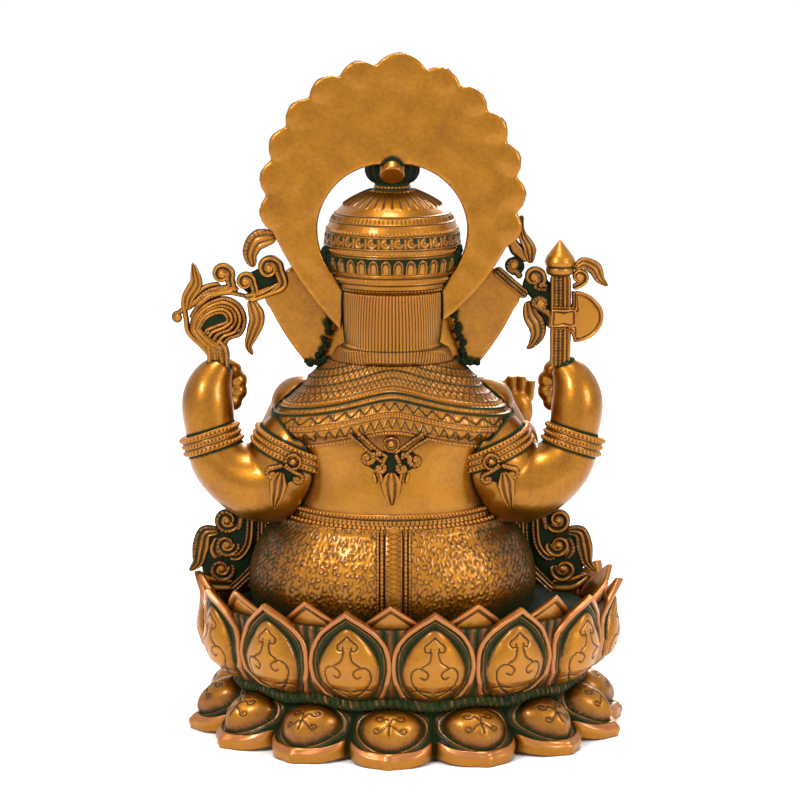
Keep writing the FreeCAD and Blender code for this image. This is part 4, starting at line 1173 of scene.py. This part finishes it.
class IDOL_OT_crown(bpy.types.Operator):
    """Casts the hair, the banded crown and its fluted finial."""

    bl_idname = "idol.crown"
    bl_label = "Hair and crown"

    def execute(self, context):
        hair = Wrap(("hair",), FIGURE_X, 9.0, 251.0, 295.5, levels=40)

        def locks(u, angle, z, above):
            wider = 1 - smooth_step(z, 260.0, 261.5)
            rib = wave(u * 100)
            lift = (0.9 * rib**0.6) * (1 - wider) + wider * 0.6 * rib
            ledge = line_at(z, 260.9, 0.6)
            relief_and_shade = np.where(wider > 0.5, 0.72 - 0.4 * rib, 0.97 - 0.8 * smooth_step(rib, 0.08, 0.5))
            relief_and_shade = relief_and_shade + 0.08 * (1 - smooth_step(z, 262, 272)) * (1 - wider)
            return lift, np.maximum(relief_and_shade, 0.9 * ledge)

        piece = skin("hair_locks", hair, 250.5, 296, 800, 60, locks)
        kept(piece, finish("lacquered_brass"), "brass", "hair")

        crown = Wrap(("crown",), FIGURE_X, -2.0, 296.3, 359.5, turns=60, levels=60)
        piece = skin("crown_bands", crown, 296, 360, 480, 150, crown_dress)
        rows = []
        for z, count, size in ((297.6, 96, 1.15), (304.7, 104, 1.2), (322.9, 110, 1.1), (335.4, 104, 1.25)):
            angle = full_circle(count)
            rows.append(beads("row", crown.at(angle, np.full(count, z), 0.4), size))
        kept(joined("crown_chased", [piece] + rows), finish("lacquered_brass"), "brass", "crown")

        finial = Wrap(("crown_finial",), FIGURE_X, -2.0, 360.5, 398.5, turns=24, levels=60)

        def flutes(u, angle, z, above):
            cup = smooth_step(z, 364.5, 366) * (1 - smooth_step(z, 376.5, 378))
            bud = smooth_step(z, 382, 384)
            rib = wave(u * 18)
            return cup * (1.2 * rib - 0.7), 0.4 + cup * (0.58 - 0.4 * rib) + 0.3 * (1 - bud)

        piece = skin("finial_cup", finial, 360, 399, 144, 84, flutes)
        angle = full_circle(30)
        ring = beads("row", finial.at(angle, np.full(30, 362.4), 0.6), 1.4)
        kept(joined("crown_finial_fluted", [piece, ring]), finish("green_and_shaded_brass"), "brass", "crown_finial")
        return {"FINISHED"}


AUREOLE_Z = 357.4       # the height of the aureole's centre
NOTCH_RADIUS = 80.5     # from there to the notches between its lobes
AUREOLE_LEAN = -3.9     # degrees that the top lobe is off upright
TOP_LOBE = 11.3         # half the top lobe's span, in degrees
SIDE_LOBE = 8.2         # half of each other lobe's
# The lobes as (turn from upright, half span): one large at the top and six down each side.
LOBES = [(math.radians(AUREOLE_LEAN), math.radians(TOP_LOBE))]
for lobe_side in (-1, 1):
    for lobe_step in range(6):
        turn_out = TOP_LOBE + 2 * SIDE_LOBE * (lobe_step + 0.5)
        LOBES.append((math.radians(AUREOLE_LEAN + lobe_side * turn_out), math.radians(SIDE_LOBE)))


class IDOL_OT_aureole(bpy.types.Operator):
    """Casts the scalloped aureole, pillowed behind each lobe, with its bosses and lug."""

    bl_idname = "idol.aureole"
    bl_label = "Aureole"

    def execute(self, context):
        def plate(points, outward):
            x, z = points[:, 0] - FIGURE_X, points[:, 2]
            behind = outward[:, 1] > 0.5
            edge = 1 - np.abs(outward[:, 1])
            wrinkle = np.sin(x * 0.21 + 1.3 * np.sin(z * 0.09)) * np.sin(z * 0.17 + 0.8) * 0.25
            for turn, half in LOBES:
                reach = NOTCH_RADIUS * math.cos(half) * (1 + 0.045 * max(0.0, math.cos(turn)) ** 3)
                lx = reach * math.sin(turn)
                lz = AUREOLE_Z + reach * math.cos(turn)
                away = np.hypot(x - lx, z - lz) / (NOTCH_RADIUS * math.sin(half) * 1.02)
                wrinkle = wrinkle + 1.1 * np.clip(1 - away**2, 0, 1) ** 1.5
            relief_and_shade = 0.33 - 0.3 * smooth_step(edge, 0.1, 0.6) + 0.05 * np.sin(x * 0.13) * np.cos(z * 0.11)
            return np.where(behind, wrinkle, 0.0), relief_and_shade

        own = ["aureole"]
        kept(recast("aureole_cast", own, 1.1, 10, plate, 2.0), finish("plain_brass"), "brass", *own)
        for name, voxel in (("aureole_bosses", 1.2), ("aureole_lug", 0.8)):
            kept(recast(name + "_cast", [name], voxel, 8), finish("plain_brass"), "brass", name)
        places, sizes = [], []
        lines = (((43.5, 15, 324), (42.5, 15.5, 319), (40.5, 16, 313)),
                 ((41, 9, 250), (49, 8, 248), (57, 6, 247)),
                 ((47.5, 5, 251), (43.5, 6, 266), (40, 7, 281)))
        for side in (1, -1):
            for number, line in enumerate(lines):
                path, _ = spline([(side * x, y, z) for x, y, z in line], 26)
                for k, spot in enumerate(path):
                    shake = [grain(k, number * 7 + axis, side + 2) - 0.5 for axis in range(4)]
                    places.append(spot + np.array(shake[:3]) * (3.0, 3.0, 2.4) + (FIGURE_X, 0, 0))
                    sizes.append(1.6 + 1.8 * shake[3])
        kept(beads("braze_clumps", places, np.array(sizes), 0.95), finish("green_and_shaded_brass"), "brass")
        return {"FINISHED"}


NECKLACE_LEVELS = (213.0, 221.0)    # the band's lower and upper edges
NECKLACE_REACH = 40.0               # how far its beads run to each side of the figure's middle


class IDOL_OT_head(bpy.types.Operator):
    """Casts the head, ears, trunk and nape, and lays on the face, the crest's ornament and the necklace's
    beads.
    """

    bl_idname = "idol.head"
    bl_label = "Head and front"

    def execute(self, context):
        def wrinkled(points, outward):
            ring = wave(points[:, 2] / 5.2 + 0.3 * np.sin(points[:, 0] * 0.2))
            front = smooth_step(-outward[:, 1], -0.3, 0.3)
            return -0.5 * front * (1 - ring), 0.4 + 0.35 * front * (1 - ring) ** 2

        kept(recast("trunk_cast", ["trunk"], 1.0, 4, wrinkled), finish("lacquered_brass"), "brass", "trunk")
        kept(recast("head_cast", ["head"], 1.2, 6), finish("lacquered_brass"), "brass", "head")
        for name in ("left_ear", "right_ear"):
            kept(recast(name + "_cast", [name], 1.1, 5, None, 0), finish("plain_brass"), "brass", name)

        def nape(u, v):
            t, end = capped(v, 16)
            angle = 2 * math.pi * np.where(u == 1, 0.0, u)
            wide = np.where(end, 0.0, 49 - 9 * smooth_step(t, 0.0, 0.7))
            deep = np.where(end, 0.0, 24.0)
            across = FIGURE_X + wide * np.cos(angle)
            points = np.column_stack([across, -4 + deep * np.sin(angle), 247 + 46 * t])
            return points, 0.36 + 0.4 * (1 - smooth_step(t, 0.0, 0.2))

        kept(moulded("nape_cast", 64, 16, nape), finish("plain_brass"), "brass")
        self.face()
        self.front_ornament()
        return {"FINISHED"}

    def face(self):
        """Almond eyes under arched brows, and a beaded edge and two folds on the front of each ear."""
        head = Backdrop(("head",), (FIGURE_X - 36, FIGURE_X + 36), (262, 302), -1)
        made = []
        for side in (1, -1):
            lids = on_figure([(11.5, 279.5), (17, 285.5), (24.5, 281.5), (18, 278.2), (11.8, 279.2)], side)
            made.append(stroke("lids", lids, 0.9, head, 2.4, 1, sunk=1.0))
            brow = on_figure([(9, 285), (17, 290.5), (27, 285.5)], side)
            made.append(stroke("brow", brow, (0.6, 1.4, 0.7), head, 2.4, 1, sunk=1.0))
            eye = head.at(np.array([FIGURE_X + side * 17.8]), np.array([281.6]), 0.2)
            made.append(beads("eye", eye, 2.7, 0.3))
            name = "left_ear" if side > 0 else "right_ear"
            ear = Backdrop((name,), sorted((FIGURE_X + side * 34, FIGURE_X + side * 84)), (246, 314), -1)
            rim = on_figure([(47, 250), (57, 251), (68, 268), (78, 286), (75.5, 296.5), (63, 306),
                             (48, 309.5)], side)
            made.append(stroke("rim", rim, 1.7, ear, 2.2, 1, (0,), 2.4, 1.0))
            fold = on_figure([(45, 262), (56, 272), (66, 286), (60, 298)], side)
            made.append(stroke("fold", fold, (0.8, 2.2, 1.0), ear, 2.2, 1, sunk=1.0))
            fold = on_figure([(44, 274), (52, 282), (57, 292), (50, 301)], side)
            made.append(stroke("fold", fold, (0.8, 1.9, 0.8), ear, 2.0, 1, sunk=1.0))
        kept(joined("face_chased", made), finish("lacquered_brass"), "brass")

    def front_ornament(self):
        """The crest's leaf and scrolls, and the necklace's beads."""
        crest = Backdrop(("crown_crest",), (FIGURE_X - 20, FIGURE_X + 20), (288, 334), -1)
        leaf = on_figure([(0, 299), (0, 312), (0, 328)])
        made = [stroke("leaf", leaf, (2.0, 5.0, 1.0), crest, 2.8, 3, (1,), 2.2, 1.0)]
        for side, leave in ((1, 120), (-1, 60)):
            made += curl(FIGURE_X + side * 10, 301, 5.0, leave, -side, (), crest, 2.6, 1.2, 1, (0,), 1.0)
            made += curl(FIGURE_X + side * 9, 313, 3.6, leave, side, (), crest, 2.4, 1.1, 1, (0,), 1.0)
        band = Backdrop(("necklace",), (FIGURE_X - 60, FIGURE_X + 60), NECKLACE_LEVELS, -1)
        x = np.linspace(FIGURE_X - NECKLACE_REACH, FIGURE_X + NECKLACE_REACH, 38)
        for share in (0.25, 0.75):
            z = np.full(len(x), NECKLACE_LEVELS[0] + share * (NECKLACE_LEVELS[1] - NECKLACE_LEVELS[0]))
            made.append(beads("row", band.at(x, z, 0.3), 1.3))
        kept(joined("front_ornament_chased", made), finish("lacquered_brass"), "brass")


# ---------------------------------------------------------------- vines, emblems and side scrolls


class IDOL_OT_left_emblem(bpy.types.Operator):
    """Works the noose in the left hand and the vine between it and the ear."""

    bl_idname = "idol.left_emblem"
    bl_label = "Noose emblem"

    def execute(self, context):
        sheet = Flat(5.0)
        outer = np.array([(113.4, 255.5), (107.5, 263.1), (99.4, 266.8), (96.8, 277.0), (101.6, 286.4),
                          (111.2, 289.5), (122.4, 284.9), (129.5, 277.0), (130.9, 268.7), (124.6, 259.7),
                          (118.6, 254.0), (118.2, 245.0)])
        inner = np.array([(122.8, 266.2), (120.9, 269.1), (113.5, 272.1), (107.9, 274.7), (109.4, 279.6),
                          (114.2, 280.4), (120.9, 277.4), (125.0, 272.5), (125.7, 268.7), (119.0, 262.0),
                          (112.0, 256.5), (110.8, 245.0)])
        made = [bed(sheet, on_figure([(103, 272), (112, 276), (123, 273), (126, 268)]), (6, 8, 8, 5), 3.4),
                bed(sheet, on_figure([(122, 264), (114, 263), (107, 265)]), (4, 7, 4), 3.0)]
        loops = 5
        for k in range(loops):
            t = k / (loops - 1)
            path = on_figure(outer * (1 - t) + inner * t)
            made.append(stroke("loop", path, 1.7, sheet, 8.0 - 1.0 * t, 1, (0,) if k % 2 == 0 else (), 2.0))
        made += strands((
            ("strand", [(136.9, 288.3), (135, 277), (133.5, 267.2), (125.4, 258.7), (119.5, 252)],
             1.9, 6.5, 1, (), 2.0),
            ("strand", [(130.2, 313.6), (128.7, 306.4), (128.3, 298.9), (133.5, 289.8), (134.7, 281.3)],
             (0.9, 3.4, 5.0, 4.4, 3.0), 6.5, 3, (), 2.0),
            ("strand", [(92.7, 289.3), (88.5, 277), (91.2, 267.2), (94.2, 258.2), (91.2, 252.1)],
             (2.8, 5.4, 5.0, 3.4, 0.9), 6.5, 3, (), 2.0),
            ("strand", [(132.1, 276.3), (126.9, 284.3), (118.7, 290.6), (107.5, 293.3), (95.6, 291.3)],
             1.6, 6.5, 1, (0,), 2.0),
            ("strand", [(134.5, 283), (124, 290.5), (112, 294.8), (100, 296.2)], 2.2, 6.0, 1, (0,), 2.0),
            ("strand", [(131, 287), (122, 295.5), (112, 298.8)], (3.0, 3.4, 2.4), 4.5, 2, (0,), 2.0),
            ("strand", [(118, 262), (114.5, 254), (114.3, 245), (115, 236.5)],
             (7.0, 7.8, 7.4, 6.8), 9.5, 4, (1, 2), 2.0),
        ), sheet)
        tail = on_figure([(106.0, 296.2), (118.9, 293.6), (129.8, 285.4)])
        made += curl(FIGURE_X + 111.0, 305.4, 9.2, 210, 1, tail, sheet)
        tail = on_figure([(135.4, 284.0)])
        made += curl(FIGURE_X + 140.2, 277.0, 5.0, 100, 1, tail, sheet, 5.0, 1.1, 1)

        front = Flat(7.5)
        leaf = on_figure([(90.4, 309.9), (92.5, 319.2), (87.5, 327.8), (75.1, 330.8)])
        link = on_figure([(97, 291.0), (85.3, 292.3), (73, 299.8)])
        web = on_figure([(99, 300), (89, 300), (79, 303), (70, 301)])
        vine = [
            stroke("leaf", leaf, (2.5, 5.4, 6.8, 4.2), sheet, 6.0, 3, (2,)),
            stroke("link", link, 2.3, front, 6.0, 2, (0,)),
            bed(sheet, web, (6, 8, 9, 7), 3.6),
        ]
        tail = on_figure([(89.6, 293.8), (95.0, 289.4)])
        vine += curl(FIGURE_X + 95.6, 300.8, 7.9, 190, 1, tail, front)
        tail = on_figure([(71.8, 299.0), (82.8, 293.9), (94.2, 289.6)])
        vine += curl(FIGURE_X + 80.0, 309.6, 10.2, 190, 1, tail, front)
        kept(joined("noose_emblem_worked", made), finish("lacquered_brass"), "brass", "noose_emblem")
        kept(joined("left_vine_worked", vine), finish("lacquered_brass"), "brass", "left_vine")
        return {"FINISHED"}


def star_plate(name, centre, outline, thick, sheet, rim):
    """A plate with a raised rim, filled from its centre out to its outline."""
    line, _ = spline(list(outline) + [outline[0]], 160)
    steps = np.linspace(0, 1, 160)

    def place(u, v):
        w = np.where(v < 0.5, v * 2, 2 - v * 2)
        u = np.where(u == 1, 0.0, u)
        ex, ez = np.interp(u, steps, line[:, 0]), np.interp(u, steps, line[:, 1])
        x, z = centre[0] + (ex - centre[0]) * w, centre[1] + (ez - centre[1]) * w
        gap = np.hypot(ex - x, ez - z)
        raised = 1 - smooth_step(gap, rim, rim + 0.8)
        groove = line_at(gap, rim + 1.2, 0.5)
        lift = (thick / 2 + 0.9 * raised - 0.4 * groove) * np.where(v < 0.5, 1.0, -1.0)
        lift = np.where(v == 0.5, 0.0, lift)
        return sheet.at(x, z, lift), np.where(gap < 0.05, 0.6, 0.3 - 0.15 * raised + 0.6 * groove)

    return moulded(name, 160, 40, place)


class IDOL_OT_right_emblem(bpy.types.Operator):
    """Works the axe in the right hand and the vine between it and the ear."""

    bl_idname = "idol.right_emblem"
    bl_label = "Axe emblem"

    def execute(self, context):
        sheet = Flat(5.0)
        shaft = strands((
            ("shaft", [(-109.6, 308), (-110, 276), (-110, 242)], 7.0, 9.0, 5, (1, 2), 2.1),
        ), sheet)
        kept(joined("axe_shaft_worked", shaft), finish("lacquered_brass"), "brass", "axe_shaft")

        def onion(u, v):
            t, end = capped(v, 40)
            reach = np.interp(t, (0, 0.06, 0.16, 0.22, 0.26, 0.30, 0.4, 0.55, 0.75, 0.92, 1.0),
                              (6.0, 8.6, 9.4, 9.2, 8.6, 9.6, 10.1, 8.8, 5.2, 2.0, 0.4))
            angle = 2 * math.pi * np.where(u == 1, 0.0, u)
            reach = np.where(end, 0.0, reach)
            z = 304.5 + 23.5 * t
            groove = line_at(t, 0.26, 0.03)
            across = FIGURE_X - 109.2 + reach * np.cos(angle)
            points = np.column_stack([across, 5 + reach * np.sin(angle), z])
            return points, 0.3 + 0.6 * groove + 0.3 * (t < 0.1)

        kept(moulded("axe_finial_turned", 48, 40, onion), finish("lacquered_brass"), "brass", "axe_finial")
        blade = on_figure([
            (-119.5, 295.0), (-124.3, 294.4), (-129.6, 291.8), (-133.9, 287.8), (-137.2, 283.5),
            (-138.4, 278.8), (-138.0, 274), (-136.2, 269.8), (-132.8, 265.6), (-128.7, 262.8), (-124, 261.0),
            (-118.8, 260.6), (-118.6, 265), (-117.0, 269.0), (-112, 271.0), (-106, 271.8), (-106, 277),
            (-106, 282.3), (-113, 282.5), (-118.8, 283.5), (-119.6, 289)])
        socket = on_figure([
            (-103.6, 282.6), (-103.2, 277.2), (-103.6, 271.8), (-108, 271.4), (-114, 271.6), (-119.4, 271.8),
            (-120.4, 277.2), (-119.4, 282.6), (-114, 282.8), (-108, 283)])
        made = [star_plate("blade", (FIGURE_X - 125.5, 277.5), blade, 3.4, sheet, 1.7)]
        made += strands((
            ("edge", [(-104.5, 284.0), (-112, 284.0), (-118.0, 284.5), (-118.2, 295)],
             1.3, 12.6, 1, (0,), 1.8),
            ("edge", [(-104.5, 270.4), (-112, 270.4), (-117.5, 268), (-120.2, 261)],
             1.3, 12.6, 1, (0,), 1.8),
        ), sheet)
        made.append(star_plate("socket", (FIGURE_X - 111.5, 277.2), socket, 10.8, sheet, 1.0))
        made += strands((
            ("leaf", [(-118.5, 308.5), (-124.5, 313.0), (-131.8, 309.5), (-135.5, 302.5), (-140.8, 297.7)],
             (2.0, 4.0, 4.8, 3.6, 0.9), 5.5, 3, (0,), 2.2),
        ), sheet)
        made += curl(FIGURE_X - 122.0, 303.7, 6.9, 250, 1, on_figure([(-117.5, 296.5)]), sheet)
        kept(joined("axe_blade_worked", made), finish("lacquered_brass"), "brass", "axe_blade")

        made = strands((
            ("leaf", [(-83.8, 344.4), (-84, 337.6), (-84.9, 330.8), (-89, 322.5), (-90.1, 312.5)],
             (1.7, 1.6, 3.6, 4.6, 1.8), 5.0, 3, (), 2.2),
            ("leaf", [(-76, 331), (-80, 323), (-88, 314)], (2.5, 4.5, 2.0), 3.6, 1, (), 2.2),
            ("band", [(-66.5, 309.4), (-77, 300), (-88.1, 291.0)], 3.6, 6.0, 3, (1,), 2.0),
            ("leaf", [(-89, 288.3), (-90.8, 278.8), (-94.6, 272), (-94.9, 265.2), (-91.2, 258.8),
                      (-87.6, 256.4)], (3.2, 5.2, 6.2, 5.6, 3.6, 1.0), 5.5, 3, (2,), 2.0),
        ), sheet)
        web = on_figure([(-86, 303), (-95, 297), (-101, 286), (-103, 270)])
        made.append(bed(sheet, web, (8, 8, 7, 3), 2.8))
        made.append(bed(sheet, on_figure([(-76, 316), (-84, 306)]), (6, 6), 2.8))
        front = Flat(7.0)
        tail = on_figure([(-84, 303)])
        made += curl(FIGURE_X - 78.9, 312, 6.6, 250, -1, tail, front, 6.0, 1.3, 1)
        made += curl(FIGURE_X - 92.4, 303.7, 9.2, 250, 1, on_figure([(-101.5, 297)]), front)
        tail = on_figure([(-103, 279), (-103.0, 270)])
        made += curl(FIGURE_X - 96.8, 286.3, 6.9, 0, -1, tail, front, 6.0, 1.3, 1)
        kept(joined("right_vine_worked", made), finish("green_and_shaded_brass"), "brass", "right_vine")
        return {"FINISHED"}


class IDOL_OT_side_scrolls(bpy.types.Operator):
    """Works the pierced scrolls that stand beside the hips."""

    bl_idname = "idol.side_scrolls"
    bl_label = "Side scrolls"

    def execute(self, context):
        sheet = Flat(-6.0)
        for side, name in ((1, "left"), (-1, "right")):
            made = strands((
                ("stem", [(101.6, 156.0), (101.1, 140.3), (103.2, 131.0)], 2.6, 6.0, 1, (0,), 2.2),
                ("stem", [(95.2, 158), (95.2, 136), (97.0, 121.9), (103.0, 113.6), (109.3, 113.8)],
                 3.0, 6.5, 2, (0,), 2.2),
                ("stem", [(87.0, 158), (87.4, 128), (91.5, 108.8), (101.9, 96.6), (109.1, 90.1)],
                 3.6, 6.5, 3, (0, 2), 2.4),
                ("leaf", [(116.0, 131.5), (125.5, 129.5), (128.4, 119.0), (130.6, 109.4), (136.6, 103.5)],
                 (2.6, 5.2, 6.2, 4.6, 1.0), 6.0, 3, (0,), 2.2),
                ("foot", [(106, 94), (121, 95), (131, 101)], (5, 6, 3), 5.0, 2, (), 2.2),
                ("curl", [(117, 127), (119, 118), (116, 112)], (2.5, 4.5, 3.0), 5.0, 2, (1,), 2.2),
            ), sheet, side)
            for path, half in (([(97, 154), (98, 134), (104, 118), (108, 96)], (9, 11, 12, 11)),
                               ([(106, 138), (115, 124), (121, 108), (126, 101)], (4, 9, 10, 4))):
                made.append(bed(sheet, on_figure(path, side), half, 3.0))
            for x, z, size, leave in ((110.4, 138.6, 10.6, 200), (110.8, 121.4, 10.4, 160),
                                      (114.6, 104.6, 10.8, 150)):
                turned = leave if side > 0 else 180 - leave
                made += curl(FIGURE_X + side * x, z, size, turned, -side, (), sheet, 6.5)
            # Painted shade: the scrolls take the greener brass because they stand back in the hips' shade,
            # together with their own green salts.
            kept(joined(name + "_side_scroll_worked", made), finish("green_and_shaded_brass"), "brass",
                 name + "_side_scroll")
        return {"FINISHED"}


# ---------------------------------------------------------------- the rest of the CAD pieces


class IDOL_OT_plain_pieces(bpy.types.Operator):
    """Gives every piece that keeps its CAD shape its metal."""

    bl_idname = "idol.plain_pieces"
    bl_label = "Plain pieces"

    def execute(self, context):
        steel = {"fixing_bolts", "fixing_washers"}
        for name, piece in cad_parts.items():
            metal = "bright_steel" if name in steel else "lacquered_brass"
            piece.data.materials.clear()
            piece.data.materials.append(finish(metal))
            if name not in steel and "relief_and_shade" not in piece.data.attributes:
                tone = GREEN if name == "seat_plate" else PLAIN
                mark_relief(piece, np.full(len(piece.data.vertices), tone))
        return {"FINISHED"}


CAMERA_LENS = 110.9     # millimetres
CAMERA_SENSOR = 36.0    # millimetres
CAMERA_TILT = 10.58     # degrees down from level


class IDOL_OT_stage(bpy.types.Operator):
    """Sets the pale floor, the soft lights and the camera."""

    bl_idname = "idol.stage"
    bl_label = "Stage"

    def execute(self, context):
        scene = context.scene
        bpy.ops.object.select_all(action="DESELECT")
        bpy.ops.mesh.primitive_plane_add(size=14, location=(0, 0, 0))
        floor = context.object
        floor.name = "floor"
        # Matt white paper, which takes soft contact shadows and gives no reflection.
        paper = bpy.data.materials.new("white_paper")
        paper.use_nodes = True
        shader = paper.node_tree.nodes["Principled BSDF"]
        shader.inputs["Base Color"].default_value = (0.97, 0.97, 0.97, 1)
        shader.inputs["Roughness"].default_value = 0.9
        floor.data.materials.append(paper)
        world = bpy.data.worlds.new("studio")
        world.use_nodes = True
        world.node_tree.nodes["Background"].inputs["Color"].default_value = (1, 1, 1, 1)
        world.node_tree.nodes["Background"].inputs["Strength"].default_value = scene.idol_stage.sky
        scene.world = world
        lamps = (
            ("key", (1.1, 1.5, 1.5), 0.5, 22.0),
            ("fill", (-1.4, 1.2, 0.9), 0.6, 12.0),
            ("top", (0.1, 0.3, 1.8), 0.5, 14.0),
            ("front", (-0.5, -1.7, 1.2), 0.9, 24.0),
        )
        for name, place, size, power in lamps:
            light = bpy.data.lights.new(name, "AREA")
            light.size = size
            light.energy = power * scene.idol_stage.lamps
            lamp = bpy.data.objects.new(name, light)
            lamp.location = place
            lamp.rotation_euler = (Vector((0, 0, 0.22)) - Vector(place)).to_track_quat("-Z", "Y").to_euler()
            scene.collection.objects.link(lamp)
        camera = bpy.data.objects.new("camera", bpy.data.cameras.new("camera"))
        camera.data.lens = CAMERA_LENS
        camera.data.sensor_width = CAMERA_SENSOR
        camera.location = (0, scene.idol_stage.camera_away, scene.idol_stage.camera_height)
        camera.rotation_euler = (math.radians(90 - CAMERA_TILT), 0, math.radians(180))
        scene.collection.objects.link(camera)
        scene.camera = camera
        scene.view_settings.view_transform = "Standard"
        return {"FINISHED"}


class IdolFinish(bpy.types.PropertyGroup):
    """The colours of the lacquered brass."""

    rubbed: bpy.props.StringProperty(name="Rubbed edges", default="#A4643A",
                                     description="Raised edges, as sRGB hex")
    amber: bpy.props.StringProperty(name="Amber", default="#A46A0E",
                                    description="Plain lacquered metal, as sRGB hex")
    deep_amber: bpy.props.StringProperty(name="Deep amber", default="#7C4A0E",
                                         description="Shaded metal, as sRGB hex")
    engraved: bpy.props.StringProperty(name="Cut lines", default="#3C260E",
                                       description="Engraved lines, as sRGB hex")
    # The greens, like the deep amber, also serve as painted shade, where pieces raise their relief towards
    # them on the flanks, low on the hips and under the shawl's hem.
    green: bpy.props.StringProperty(name="Copper salts", default="#26380F",
                                    description="Recesses, as sRGB hex")
    dark_green: bpy.props.StringProperty(name="Dark salts", default="#17260E",
                                         description="Deep recesses, as sRGB hex")


class IdolOrnament(bpy.types.PropertyGroup):
    """The size of the soldered ornament."""

    bead_scale: bpy.props.FloatProperty(name="Bead scale", description="Size of every bead against its own",
                                        default=1.0, min=0.2, max=2.0, subtype="FACTOR")


class IdolStage(bpy.types.PropertyGroup):
    """The studio's light and the camera's place."""

    sky: bpy.props.FloatProperty(name="Surround", description="Brightness of the white surround",
                                 default=1.05, min=0.0)
    lamps: bpy.props.FloatProperty(name="Lamps", description="Strength of the lamps", default=1.0, min=0.0,
                                   subtype="FACTOR")
    camera_away: bpy.props.FloatProperty(name="Camera distance", description="From the idol's axis",
                                         default=1.6, min=0.5, unit="LENGTH")
    camera_height: bpy.props.FloatProperty(name="Camera height", description="Above the floor",
                                           default=0.52, min=0.0, unit="LENGTH")


OPERATORS = (
    IDOL_OT_plain_pieces,
    IDOL_OT_lotus_base,
    IDOL_OT_rear_petals,
    IDOL_OT_upper_petals,
    IDOL_OT_body,
    IDOL_OT_back_ornament,
    IDOL_OT_arms,
    IDOL_OT_crown,
    IDOL_OT_aureole,
    IDOL_OT_head,
    IDOL_OT_left_emblem,
    IDOL_OT_right_emblem,
    IDOL_OT_side_scrolls,
    IDOL_OT_stage,
)


class IDOL_PT_panel(bpy.types.Panel):
    """Lists the idol's pieces in the sidebar."""

    bl_idname = "IDOL_PT_panel"
    bl_label = "Brass idol"
    bl_space_type = "VIEW_3D"
    bl_region_type = "UI"
    bl_category = "Idol"

    def draw(self, context):
        for key in ("rubbed", "amber", "deep_amber", "engraved", "green", "dark_green"):
            self.layout.prop(context.scene.idol_finish, key)
        self.layout.prop(context.scene.idol_ornament, "bead_scale")
        for key in ("sky", "lamps", "camera_away", "camera_height"):
            self.layout.prop(context.scene.idol_stage, key)
        for operator in OPERATORS:
            self.layout.operator(operator.bl_idname)


CLASSES = (IdolFinish, IdolOrnament, IdolStage) + OPERATORS + (IDOL_PT_panel,)


def register():
    for entry in CLASSES:
        bpy.utils.register_class(entry)
    bpy.types.Scene.idol_finish = bpy.props.PointerProperty(type=IdolFinish)
    bpy.types.Scene.idol_ornament = bpy.props.PointerProperty(type=IdolOrnament)
    bpy.types.Scene.idol_stage = bpy.props.PointerProperty(type=IdolStage)


def unregister():
    del bpy.types.Scene.idol_stage
    del bpy.types.Scene.idol_ornament
    del bpy.types.Scene.idol_finish
    for entry in reversed(CLASSES):
        bpy.utils.unregister_class(entry)


def main():
    register()
    for operator in OPERATORS:
        group, name = operator.bl_idname.split(".")
        getattr(getattr(bpy.ops, group), name)()


if __name__ == "__main__":
    main()
